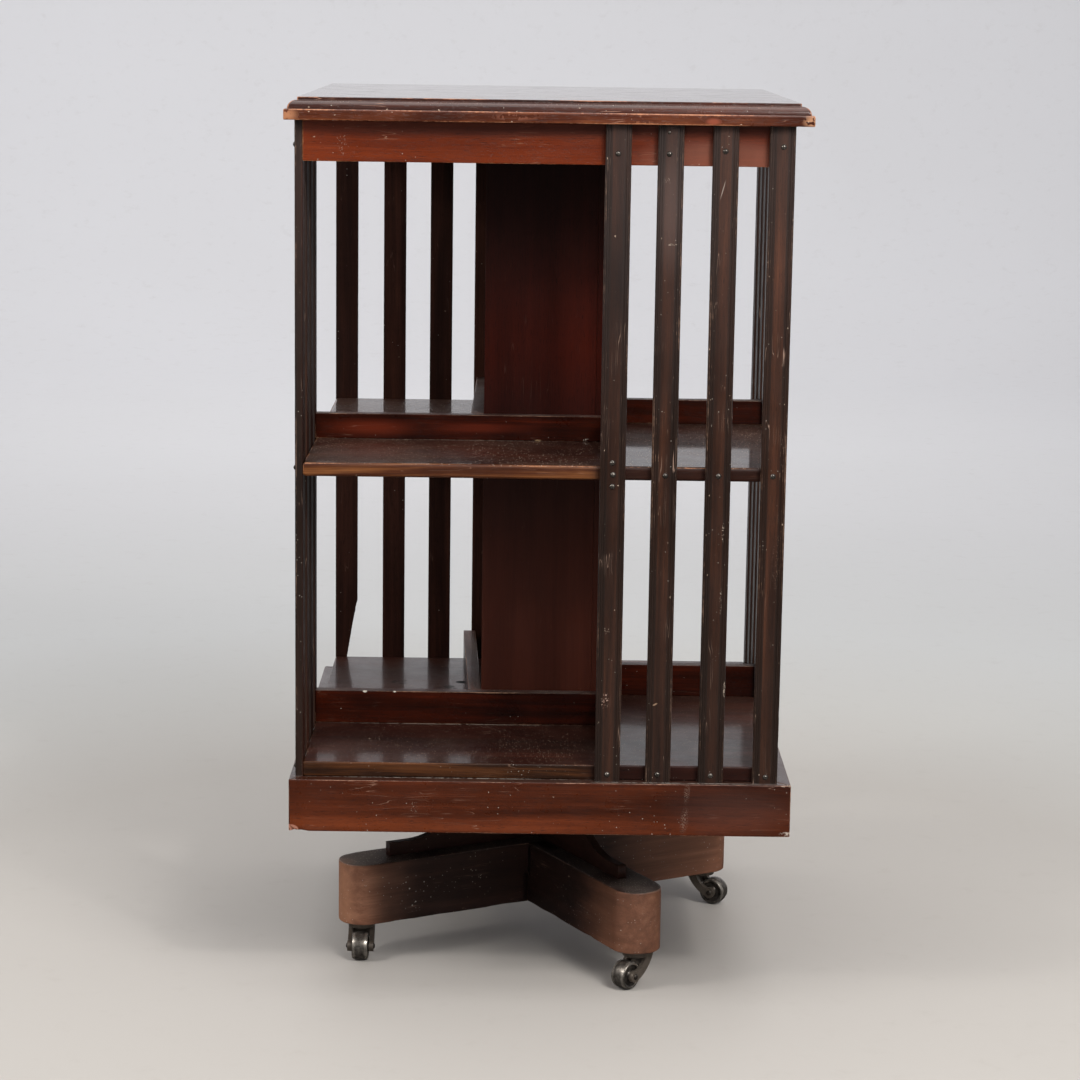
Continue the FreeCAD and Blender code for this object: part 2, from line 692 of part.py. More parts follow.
def make_base_screws():
    low = NUM["foot_low"] + NUM["foot_tall"] + NUM["bearer_tall"]
    top = low + NUM["post_flange_thick"]
    solids = []
    for k in range(4):
        a = math.radians(A0 + 90.0 * k)
        x, y = NUM["screw_ring"] * math.cos(a), NUM["screw_ring"] * math.sin(a)
        mx, mz = cap_mid(4.2, 2.5)
        head, m, b = V(4.2, 0, top), V(mx, 0, top + mz), V(0, 0, top + 2.5)
        edges = [Part.makeLine(V(0, 0, low - 26), V(2.2, 0, low - 20)),
                 Part.makeLine(V(2.2, 0, low - 20), V(2.2, 0, top)),
                 Part.makeLine(V(2.2, 0, top), head),
                 Part.Arc(head, m, b).toShape(),
                 Part.makeLine(b, V(0, 0, low - 26))]
        solid = Part.Face(Part.Wire(edges)).revolve(V(0, 0, 0), V(0, 0, 1), 360.0)
        if solid.Volume < 0:
            solid.reverse()
        # the screw's slot
        slot = Part.makeBox(9.0, 0.9, 1.0, V(-4.5, -0.45, top + 1.6))
        slot.rotate(V(0, 0, 0), V(0, 0, 1), 25.0 + 40.0 * k)
        solid = solid.cut(slot)
        solid.translate(V(x, y, 0))
        solids.append(solid)
    obj = doc.addObject("Part::Feature", "BaseScrews")
    obj.Shape = Part.makeCompound(solids)
    obj.Placement = FreeCAD.Placement()
    keep(obj, "base_screws")


make_base_screws()

# ------------------------------------------------------------------- casters

CASTERS = [  # name, degrees added to foot_angle, cell of the trail's direction
    ("front", 0.0, "turn_front"),
    ("right", 90.0, "turn_right"),
    ("back", 180.0, "turn_back"),
    ("left", 270.0, "turn_left"),
]


def caster_centre(add):
    a = math.radians(NUM["foot_angle"] + add)
    return NUM["caster_ring"] * math.cos(a), NUM["caster_ring"] * math.sin(a)


def place_caster(body, add, cell):
    x, y = caster_centre(add)
    body.Placement = FreeCAD.Placement(V(x, y, 0), FreeCAD.Rotation(V(0, 0, 1), NUM[cell] + 360.0))
    body.setExpression("Placement.Base.x", "Sizes.caster_ring * cos((Sizes.foot_angle + %g) * 1 deg)" % add)
    body.setExpression("Placement.Base.y", "Sizes.caster_ring * sin((Sizes.foot_angle + %g) * 1 deg)" % add)
    body.setExpression("Placement.Rotation.Angle", "Sizes.%s + 360" % cell)


def make_stems():
    """Four stems: a spike in the foot, a thin plate and a swivel rivet."""
    low = NUM["foot_low"]
    solids = []
    bridge_low = NUM["fork_top"] - NUM["fork_bridge"]
    plate_low = NUM["fork_top"] + 0.15
    sr, rr = NUM["stem_radius"], NUM["stem_rivet"]
    for name, add, cell in CASTERS:
        x, y = caster_centre(add)
        head_low, head_top = bridge_low - 1.35, bridge_low - 0.12
        pts = [V(0, 0, head_low), V(4.0, 0, head_low), V(4.5, 0, head_top), V(rr, 0, head_top), V(rr, 0, plate_low),
               V(12.2, 0, plate_low), V(12.6, 0, plate_low + 0.4), V(12.6, 0, low), V(sr, 0, low),
               V(sr, 0, low + NUM["stem_tall"] - 5.0), V(0, 0, low + NUM["stem_tall"])]
        wire = Part.makePolygon(pts + [pts[0]])
        solid = Part.Face(wire).revolve(V(0, 0, 0), V(0, 0, 1), 360.0)
        if solid.Volume < 0:
            solid.reverse()
        solid.translate(V(x, y, 0))
        solids.append(solid)
    obj = doc.addObject("Part::Feature", "CasterStems")
    obj.Shape = Part.makeCompound(solids)
    obj.Placement = FreeCAD.Placement()
    keep(obj, "caster_stems")


make_stems()


def make_fork(name, add, cell):
    body = doc.addObject("PartDesign::Body", "CasterFork_" + name)
    top, trail, wr = S("fork_top"), S("caster_trail"), S("wheel_radius")
    # round top
    sk = sketch_on(body, "ForkTop_" + name, "XY_Plane", top - S("fork_bridge"))
    circle(sk, 0, 0, S("fork_disc"))
    pad(body, sk, S("fork_bridge"), "ForkTopPad_" + name)
    # cheeks that sweep from the round top to the axle
    sk2 = sketch_on(body, "ForkCheek_" + name, "XZ_Plane")
    outline(sk2, [
        (-11.2, top), (-11.2, top - 4.5), (trail - 3.6, wr - 4.4), (trail - 2.6, wr + 5.0),
        (-0.6, top - 5.4), (-0.6, top)],
        {1: (-2.2, wr + 4.6), 2: (trail + 5.68, wr - 0.35), 3: (3.9, wr + 9.4)})
    pad(body, sk2, S("fork_wide"), "ForkCheekPad_" + name, midplane=True)
    # the gap for the wheel; the horn's web stays between the cheeks
    sk3 = sketch_on(body, "ForkGap_" + name, "XZ_Plane")
    low = top - S("fork_bridge")
    outline(sk3, [
        (-14.0, 2.0), (trail + 8.0, 2.0), (trail + 8.0, low), (-7.4, low), (-3.9, wr + 11.2), (-0.6, wr + 5.9),
        (-3.4, wr + 2.9), (-14.0, wr + 2.9)])
    pocket(body, sk3, S("fork_gap"), "ForkGapCut_" + name, midplane=True)
    # swivel hole and axle hole
    sk4 = sketch_on(body, "ForkSwivel_" + name, "XY_Plane", top + 1.0)
    circle(sk4, 0, 0, S("fork_bore"))
    pocket(body, sk4, S("fork_bridge") + 2.0, "ForkSwivelBore_" + name)
    sk5 = sketch_on(body, "ForkAxleHole_" + name, "XZ_Plane")
    circle(sk5, trail, wr, S("axle_radius") + 0.02)
    pocket(body, sk5, 40.0, "ForkAxleBore_" + name, midplane=True)
    place_caster(body, add, cell)
    keep(body, "caster_fork_" + name)


def make_wheel(name, add, cell):
    body = doc.addObject("PartDesign::Body", "CasterWheel_" + name)
    sk = sketch_on(body, "WheelSection_" + name, "XY_Plane", S("wheel_radius"))
    w, r, b, t = S("wheel_wide") / 2, S("wheel_radius"), S("wheel_bore"), S("caster_trail")
    # half section across the axle; x is the distance from the axle
    outline(sk, [
        (t + b, -w), (t + 5.0, -w), (t + 6.0, 1.9 - w), (t + r - 4.6, 2.2 - w), (t + r - 3.4, 0.4 - w),
        (t + r - 2.4, -w), (t + r - 1.0, 0.9 - w), (t + r - 1.0, w - 0.9), (t + r - 2.4, w), (t + r - 3.4, w - 0.4),
        (t + r - 4.6, w - 2.2), (t + 6.0, w - 1.9), (t + 5.0, w), (t + b, w)],
        {5: (t + r - 1.55, 0.2 - w), 6: (t + r, 0), 7: (t + r - 1.55, w - 0.2)})
    line = sk.addGeometry(Part.LineSegment(V(t.v, -20, 0), V(t.v, 20, 0)), True)
    sk.addConstraint(Sketcher.Constraint("Vertical", line))
    c = sk.addConstraint(Sketcher.Constraint("DistanceX", -1, 1, line, 1, t.v))
    sk.renameConstraint(c, "axle_line")
    sk.setExpression("Constraints.axle_line", t.e)
    sk.addConstraint(Sketcher.Constraint("DistanceY", -1, 1, line, 1, -20.0))
    sk.addConstraint(Sketcher.Constraint("DistanceY", -1, 1, line, 2, 20.0))
    f = body.newObject("PartDesign::Revolution", "WheelTurned_" + name)
    f.Profile = sk
    f.ReferenceAxis = (sk, ["Axis0"])
    f.Angle = 360.0
    doc.recompute()
    place_caster(body, add, cell)
    keep(body, "caster_wheel_" + name)


def make_axle(name, add, cell):
    body = doc.addObject("PartDesign::Body", "CasterAxle_" + name)
    sk = sketch_on(body, "AxleSection_" + name, "XY_Plane", S("wheel_radius"))
    t, a, hd, h = S("caster_trail"), S("axle_radius"), S("axle_head"), S("fork_wide") / 2
    mx, my = cap_mid(NUM["axle_head"], 1.6)
    outline(sk, [(t, -h - 1.6), (t + hd, -h), (t + a, -h), (t + a, h), (t + hd, h), (t, h + 1.6)],
            {0: (t + mx, -h - my), 4: (t + mx, h + my)})
    f = body.newObject("PartDesign::Revolution", "AxleTurned_" + name)
    f.Profile = sk
    line = sk.addGeometry(Part.LineSegment(V(t.v, -30, 0), V(t.v, 30, 0)), True)
    sk.addConstraint(Sketcher.Constraint("Vertical", line))
    c = sk.addConstraint(Sketcher.Constraint("DistanceX", -1, 1, line, 1, t.v))
    sk.renameConstraint(c, "axle_line")
    sk.setExpression("Constraints.axle_line", t.e)
    sk.addConstraint(Sketcher.Constraint("DistanceY", -1, 1, line, 1, -30.0))
    sk.addConstraint(Sketcher.Constraint("DistanceY", -1, 1, line, 2, 30.0))
    f.ReferenceAxis = (sk, ["Axis0"])
    f.Angle = 360.0
    doc.recompute()
    place_caster(body, add, cell)
    keep(body, "caster_axle_" + name)


for name, add, cell in CASTERS:
    make_fork(name, add, cell)
for name, add, cell in CASTERS:
    make_wheel(name, add, cell)
for name, add, cell in CASTERS:
    make_axle(name, add, cell)

# ------------------------------------------------------------ check and write

doc.recompute()
bad = []
for obj in doc.Objects:
    if "Invalid" in obj.State or "Error" in obj.State:
        bad.append("%s state %s" % (obj.Name, obj.State))
for obj in NODES:
    shape = obj.Shape
    if shape.isNull() or not shape.isValid() or not shape.Solids:
        bad.append("%s has no valid shape" % obj.Label)
if bad:
    raise RuntimeError("; ".join(bad))
if len(NODES) > 60 or len({o.Label for o in NODES}) != len(NODES):
    raise RuntimeError("node list is wrong: %d" % len(NODES))

os.makedirs("parts", exist_ok=True)
for obj in NODES:
    obj.Shape.exportStep("parts/%s.step" % obj.Label)
box = Part.makeCompound([o.Shape for o in NODES]).BoundBox
print("nodes", len(NODES))
print("box %.2f %.2f %.2f to %.2f %.2f %.2f" % (box.XMin, box.YMin, box.ZMin, box.XMax, box.YMax, box.ZMax))
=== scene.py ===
import math

import bpy
import numpy as np
from mathutils import Matrix, Vector


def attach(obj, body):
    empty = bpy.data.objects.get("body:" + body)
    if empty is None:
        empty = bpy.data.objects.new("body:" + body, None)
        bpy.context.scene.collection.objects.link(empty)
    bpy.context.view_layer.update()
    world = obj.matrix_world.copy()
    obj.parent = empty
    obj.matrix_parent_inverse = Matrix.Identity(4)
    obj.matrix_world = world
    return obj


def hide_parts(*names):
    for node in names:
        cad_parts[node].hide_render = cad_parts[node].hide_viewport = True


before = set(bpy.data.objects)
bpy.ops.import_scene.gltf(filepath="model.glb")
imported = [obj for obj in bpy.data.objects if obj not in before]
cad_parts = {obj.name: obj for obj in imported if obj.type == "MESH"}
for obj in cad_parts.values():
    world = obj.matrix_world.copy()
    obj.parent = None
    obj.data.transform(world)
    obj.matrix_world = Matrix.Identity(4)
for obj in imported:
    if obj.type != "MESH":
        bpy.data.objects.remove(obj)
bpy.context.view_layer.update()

SC = bpy.context.scene
MM = 0.001
FACES = ["front", "right", "back", "left"]

# ------------------------------------------------------------------ numbers
# The same lengths as the construction, in millimetres.
HALF, PLINTH_HALF, PLINTH_T = 227.0, 240.0, 18.0
PLINTH_LOW, PLINTH_TALL = 171.0, 51.0
BOARD_LOW = PLINTH_LOW + PLINTH_TALL
BOARD_T, SHELF_LOW, SHELF_T = 14.5, 513.0, 13.5
TOP_LOW, FRIEZE_TALL, FRIEZE_T = 845.5, 38.0, 16.0
SLAT_W, SLAT_T = 24.0, 8.0
SLATS = [64.2, 112.5, 163.0, 215.0]
CORE, CORE_T, STOP_T = 60.0, 9.0, 13.0
STOP_UP, STOP_DOWN, LOOSE = 25.0, 33.0, 2.4
FOOT_ANGLE, FOOT_REACH, FOOT_W = -61.4, 226.0, 49.6
FOOT_LOW, FOOT_TALL = 38.4, 62.6
BEAR_REACH, BEAR_T, BEAR_NOSE, BEAR_TALL = 174.0, 9.5, 13.5, 95.0
BEAR_FLAT, BEAR_HOLLOW = 151.0, 73.0
CASTERS = [("front", 0.0, -132.0), ("right", 90.0, -28.0), ("back", 180.0, 62.0), ("left", 270.0, -91.0)]
RING, TRAIL, WHEEL_R, WHEEL_W, FORK_W = 203.0, 14.5, 14.3, 16.2, 26.2


# -------------------------------------------------------------- seeded noise
def _hash(ix, iy, iz, seed):
    h = (ix * 374761393 + iy * 668265263 + iz * 2147483647 + seed * 1274126177) & 0xFFFFFFFF
    h = ((h ^ (h >> 13)) * 1274126177) & 0xFFFFFFFF
    h = h ^ (h >> 16)
    return (h & 0xFFFFFF) / float(0xFFFFFF)


def noise(p, scale=1.0, seed=0, octaves=1):
    """Smooth noise from -1 to 1 at the points p, an (n, 3) array."""
    out, amp, total = np.zeros(len(p)), 1.0, 0.0
    for o in range(octaves):
        q = p * (scale * 2.0 ** o) + 17.31 * (o + 1)
        i = np.floor(q).astype(np.int64)
        f = q - i
        f = f * f * (3 - 2 * f)
        acc = np.zeros(len(p))
        for dx in (0, 1):
            wx = f[:, 0] if dx else 1 - f[:, 0]
            for dy in (0, 1):
                wy = f[:, 1] if dy else 1 - f[:, 1]
                for dz in (0, 1):
                    wz = f[:, 2] if dz else 1 - f[:, 2]
                    acc += wx * wy * wz * _hash(i[:, 0] + dx, i[:, 1] + dy, i[:, 2] + dz, seed + 31 * o)
        out += amp * (acc * 2 - 1)
        total += amp
        amp *= 0.5
    return out / total


def smooth(a, b, x):
    t = np.clip((x - a) / (b - a), 0, 1)
    return t * t * (3 - 2 * t)


def turn_z(p, degrees):
    a = math.radians(degrees)
    c, s = math.cos(a), math.sin(a)
    q = p.copy()
    q[:, 0] = c * p[:, 0] - s * p[:, 1]
    q[:, 1] = s * p[:, 0] + c * p[:, 1]
    return q


# ------------------------------------------------------------- mesh building
class Shell:
    """Points in millimetres, faces, and for each point its place in the wood
    (along, across and through the grain) and its distance to an arris."""

    def __init__(self, points, faces, edge=None):
        self.p = np.asarray(points, float)
        self.f = [tuple(int(i) for i in f) for f in faces]
        self.edge = np.full(len(self.p), 30.0) if edge is None else np.asarray(edge, float)
        self.wood = self.p.copy()

    def grain(self, order, shift):
        """order gives which axes run along, across and through the grain."""
        self.wood = self.p[:, list(order)] + np.asarray(shift, float)
        return self

    def moved(self, fn):
        self.p = fn(self.p)
        return self

    def join(self, other):
        n = len(self.p)
        self.p = np.vstack([self.p, other.p])
        self.f += [tuple(i + n for i in f) for f in other.f]
        self.edge = np.concatenate([self.edge, other.edge])
        self.wood = np.vstack([self.wood, other.wood])
        return self


def make(name, shell, body, material, replaces=(), sharp=None, rub=None, second=None):
    mesh = bpy.data.meshes.new(name)
    mesh.from_pydata((shell.p * MM).tolist(), [], shell.f)
    mesh.update()
    w = mesh.attributes.new("wood", "FLOAT_VECTOR", "POINT")
    w.data.foreach_set("vector", (shell.wood * MM).astype(np.float32).ravel())
    e = mesh.attributes.new("arris", "FLOAT", "POINT")
    e.data.foreach_set("value", (shell.edge * MM).astype(np.float32))
    if rub is not None:
        a = mesh.attributes.new("rub", "FLOAT", "POINT")
        a.data.foreach_set("value", np.asarray(rub, np.float32))
    mesh.polygons.foreach_set("use_smooth", [True] * len(mesh.polygons))
    if sharp is not None:
        mesh.set_sharp_from_angle(angle=math.radians(sharp))
    mesh.materials.append(material)
    if second is not None:
        mesh.materials.append(second[0])
        mesh.polygons.foreach_set("material_index", [int(second[1](f)) for f in shell.f])
    obj = bpy.data.objects.new(name, mesh)
    SC.collection.objects.link(obj)
    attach(obj, body)
    if replaces:
        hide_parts(*replaces)
    return obj


def stations(a, b, r, step, near=(1.2, 2.8, 5.0, 9.0)):
    """Places from a to b, close together near both ends."""
    half = (b - a) / 2.0
    r = min(r, half * 0.9)
    ends = [0.0, r * 0.423, r * 0.732, r] + [r + d for d in near if r + d < half * 0.85]
    inner = ends[-1]
    n = max(1, int(math.ceil((b - a - 2 * inner) / step)))
    mid = [inner + (b - a - 2 * inner) * i / n for i in range(1, n)]
    out = ends + mid + [b - a - e for e in reversed(ends)]
    return a + np.array(out)


def grid_faces(idx):
    """Quads of a grid of point numbers."""
    a, b, c, d = idx[:-1, :-1], idx[1:, :-1], idx[1:, 1:], idx[:-1, 1:]
    return np.stack([a, b, c, d], -1).reshape(-1, 4)


def block(lo, hi, r=0.8, step=9.0, near=(1.2, 2.8, 5.0, 9.0)):
    """A board with rounded arrises, as one closed mesh of small quads."""
    lo, hi = np.asarray(lo, float), np.asarray(hi, float)
    S = [stations(lo[k], hi[k], r, step, near) for k in range(3)]
    nx, ny, nz = [len(s) for s in S]
    number = {}
    pts = []

    def vid(i, j, k):
        key = (i, j, k)
        if key not in number:
            number[key] = len(pts)
            pts.append((S[0][i], S[1][j], S[2][k]))
        return number[key]

    faces = []

    def face(fixed, at, n1, n2, flip):
        idx = np.zeros((n1, n2), int)
        for a in range(n1):
            for b in range(n2):
                t = [a, b]
                t.insert(fixed, at)
                idx[a, b] = vid(*t)
        q = grid_faces(idx)
        if flip:
            q = q[:, ::-1]
        faces.extend(q.tolist())

    face(0, 0, ny, nz, True)
    face(0, nx - 1, ny, nz, False)
    face(1, 0, nx, nz, False)
    face(1, ny - 1, nx, nz, True)
    face(2, 0, nx, ny, True)
    face(2, nz - 1, nx, ny, False)
    p = np.array(pts)
    size = hi - lo
    rr = min(r, size.min() / 2 * 0.98)
    inner = np.clip(p, lo + rr, hi - rr)
    d = p - inner
    n = np.linalg.norm(d, axis=1, keepdims=True)
    q = inner + d / np.maximum(n, 1e-9) * rr
    dist = np.sort(np.minimum(p - lo, hi - p), axis=1)
    return Shell(q, faces, dist[:, 1])


def slab(half, profile, step=9.0, corner=1.5, centre=(0.0, 0.0), hole=None):
    """A square board whose edge follows profile, a list of (inset, z) from
    the underside to the top. half is the half width. hole is (radius, half
    width of the square patch round it)."""
    near = (1.6, 3.4, 6.0, 11.0)
    f = stations(-half, half, corner, step, near)
    if hole:
        f = np.array(sorted(set(np.round(f[np.abs(np.abs(f) - hole[1]) > 2.0], 6)) | {-hole[1], hole[1]}))
    n = len(f)
    ring = [(i, 0) for i in range(n - 1)] + [(n - 1, j) for j in range(n - 1)]
    ring += [(i, n - 1) for i in range(n - 1, 0, -1)] + [(0, j) for j in range(n - 1, 0, -1)]
    m = len(ring)
    pts, faces, edge = [], [], []

    def shaped(x, y, inset):
        k = (half - inset) / half
        x, y = x * k, y * k
        h = half - inset
        c = min(corner, h)
        ix, iy = max(-h + c, min(h - c, x)), max(-h + c, min(h - c, y))
        dx, dy = x - ix, y - iy
        dd = math.hypot(dx, dy)
        if dx and dy and dd > 1e-9:
            # a point in the corner square goes onto the rounding
            far = max(abs(dx), abs(dy))
            return ix + dx / dd * far, iy + dy / dd * far
        return x, y

    rows = []
    for inset, z in profile:
        row = []
        for i, j in ring:
            x, y = shaped(f[i], f[j], inset)
            row.append(len(pts))
            pts.append((x, y, z))
            edge.append(30.0)
        rows.append(row)
    for a, b in zip(rows[:-1], rows[1:]):
        for s in range(m):
            t = (s + 1) % m
            faces.append((a[s], a[t], b[t], b[s]))
    for row, flip in ((rows[0], True), (rows[-1], False)):
        inset, z = profile[0] if flip else profile[-1]
        idx = np.zeros((n, n), int)
        for s, (i, j) in enumerate(ring):
            idx[i, j] = row[s]
        for i in range(1, n - 1):
            for j in range(1, n - 1):
                idx[i, j] = len(pts)
                k = (half - inset) / half
                pts.append((f[i] * k, f[j] * k, z))
                edge.append(30.0)
        q = grid_faces(idx)
        if flip:
            q = q[:, ::-1]
        if hole:
            P = np.array(pts)
            c = P[q].mean(1)
            keep = (np.abs(c[:, 0]) > hole[1] * 0.98) | (np.abs(c[:, 1]) > hole[1] * 0.98)
            q = q[keep]
        faces.extend(q.tolist())
        if hole:
            lo_i, hi_i = int(np.argmin(np.abs(f + hole[1]))), int(np.argmin(np.abs(f - hole[1])))
            loop = [idx[i, lo_i] for i in range(lo_i, hi_i)] + [idx[hi_i, j] for j in range(lo_i, hi_i)]
            loop += [idx[i, hi_i] for i in range(hi_i, lo_i, -1)] + [idx[lo_i, j] for j in range(hi_i, lo_i, -1)]
            circle = []
            for v in loop:
                a = math.atan2(pts[v][1], pts[v][0])
                circle.append(len(pts))
                pts.append((hole[0] * math.cos(a), hole[0] * math.sin(a), z))
                edge.append(0.0)
            for s in range(len(loop)):
                t = (s + 1) % len(loop)
                quad = (loop[s], loop[t], circle[t], circle[s])
                faces.append(quad[::-1] if flip else quad)
            if flip:
                low_circle = circle
            else:
                for s in range(len(circle)):
                    t = (s + 1) % len(circle)
                    faces.append((low_circle[s], circle[s], circle[t], low_circle[t]))
    sh = Shell(pts, faces)
    r = np.max(np.abs(sh.p[:, :2]), axis=1)
    z0, z1 = profile[0][1], profile[-1][1]
    rim = half - r
    dz = np.minimum(sh.p[:, 2] - z0, z1 - sh.p[:, 2])
    both = np.sort(np.stack([half - np.abs(sh.p[:, 0]), half - np.abs(sh.p[:, 1]), dz], 1), axis=1)
    sh.edge = both[:, 1]
    if hole:
        near_hole = np.hypot(sh.p[:, 0], sh.p[:, 1]) < hole[1]
        sh.edge[near_hole] = 30.0
    sh.rim = rim
    sh.p[:, 0] += centre[0]
    sh.p[:, 1] += centre[1]
    return sh


def arc_rows(cx, cz, r, a0, a1, n):
    """Points (inset, z) on an arc, angles in degrees: 0 outwards, 90 up."""
    out = []
    for i in range(n + 1):
        a = math.radians(a0 + (a1 - a0) * i / n)
        out.append((cx - r * math.cos(a), cz + r * math.sin(a)))
    return out


def resample(path, step, closed=True):
    """Evenly spaced points along straight spans, keeping the corners."""
    out = []
    n = len(path)
    for i in range(n if closed else n - 1):
        a, b = np.array(path[i], float), np.array(path[(i + 1) % n], float)
        k = max(1, int(round(np.linalg.norm(b - a) / step)))
        out += [tuple(a + (b - a) * t / k) for t in range(k)]
    if not closed:
        out.append(tuple(path[-1]))
    return out


def prism(path, z0, z1, r=0.8, step=8.0, inset=(1.4, 3.5)):
    """A flat outline (counter-clockwise) extruded from z0 to z1 with rounded
    arrises. path is a fine closed outline."""
    P = np.array(path, float)
    n = len(P)
    prev, nxt = np.roll(P, 1, 0), np.roll(P, -1, 0)
    t1, t2 = P - prev, nxt - P
    t1 /= np.maximum(np.linalg.norm(t1, axis=1, keepdims=True), 1e-9)
    t2 /= np.maximum(np.linalg.norm(t2, axis=1, keepdims=True), 1e-9)
    n1 = np.stack([t1[:, 1], -t1[:, 0]], 1)
    n2 = np.stack([t2[:, 1], -t2[:, 0]], 1)
    nn = n1 + n2
    nn /= np.maximum(np.linalg.norm(nn, axis=1, keepdims=True), 1e-9)
    scale = 1.0 / np.maximum((nn * n1).sum(1), 0.5)
    out = nn * scale[:, None]
    rows, z_rows = [], []
    low = [(d, z0) for d in (r + inset[1], r + inset[0], r)]
    low += [(r - r * math.sin(math.radians(a)), z0 + r - r * math.cos(math.radians(a))) for a in (30, 60, 90)]
    zs = stations(z0 + r, z1 - r, 0.01, step, (1.2, 3.0, 6.0))[4:-4] if z1 - z0 > 6 else []
    mid = [(0.0, z) for z in zs]
    high = [(d, z1 + z0 - z) for d, z in reversed(low)]
    prof = low + mid + high
    pts, edge = [], []
    for d, z in prof:
        rows.append(range(len(pts), len(pts) + n))
        q = P - out * d
        pts += [(x, y, z) for x, y in q]
        e = max(d - 0.0, min(z - z0, z1 - z)) if d > r * 0.99 else min(z - z0, z1 - z)
        edge += [max(0.0, e if d <= r else d)] * n
    faces = []
    for a, b in zip(rows[:-1], rows[1:]):
        for s in range(n):
            t = (s + 1) % n
            faces.append((a[s], a[t], b[t], b[s]))
    faces.append(tuple(reversed(rows[0])))
    faces.append(tuple(rows[-1]))
    return Shell(pts, faces, edge)


def lathe(path, segs=32, closed=True):
    """path is a list of (radius, height) turned about Z. With closed the
    path starts and ends on the axis or on itself."""
    n = len(path)
    ring_ids, pts, faces = [], [], []
    for r, z in path:
        if abs(r) < 1e-6:
            ring_ids.append([len(pts)] * segs)
            pts.append((0, 0, z))
        else:
            ring_ids.append(list(range(len(pts), len(pts) + segs)))
            pts += [(r * math.cos(2 * math.pi * s / segs), r * math.sin(2 * math.pi * s / segs), z) for s in range(segs)]
    pairs = list(zip(range(n - 1), range(1, n))) + ([(n - 1, 0)] if closed and abs(path[0][0]) > 1e-6 else [])
    for a, b in pairs:
        A, B = ring_ids[a], ring_ids[b]
        for s in range(segs):
            t = (s + 1) % segs
            quad = []
            for v in (A[s], A[t], B[t], B[s]):
                if v not in quad:
                    quad.append(v)
            if len(quad) > 2:
                faces.append(tuple(quad))
    return Shell(pts, faces)


def chips(shell, amount, scale, seed, reach=3.0, cut=0.35, keep_inside=None):
    """Knocks and wear: points near an arris sink where the noise is high."""
    p = shell.p
    n = noise(p, scale, seed, 2)
    k = np.clip((n - cut) / (1 - cut), 0, 1) * np.clip(1 - shell.edge / reach, 0, 1)
    mid = (p.min(0) + p.max(0)) / 2
    away = p - mid
    size = (p.max(0) - p.min(0)) / 2
    # towards the middle of the section, not along the board
    w = away / np.maximum(size, 1e-6)
    dirn = np.sign(w) * (np.abs(w) > 0.0)
    d = np.minimum(p - p.min(0), p.max(0) - p)
    pull = np.where(d < reach, dirn, 0.0)
    norm = np.linalg.norm(pull, axis=1, keepdims=True)
    pull = pull / np.maximum(norm, 1.0)
    shell.p = p - pull * (k * amount)[:, None]
    return shell


def wave(shell, amount, scale, seed, axis):
    """Slow unevenness of a hand-finished face, only inwards."""
    p = shell.p
    n = (noise(p, scale, seed, 2) + 1) / 2
    mid = (p[:, axis].min() + p[:, axis].max()) / 2
    half = (p[:, axis].max() - p[:, axis].min()) / 2
    side = np.clip((p[:, axis] - mid) / max(half, 1e-6), -1, 1)
    p = p.copy()
    p[:, axis] -= np.sign(side) * np.abs(side) ** 4 * n * amount
    shell.p = p
    return shell


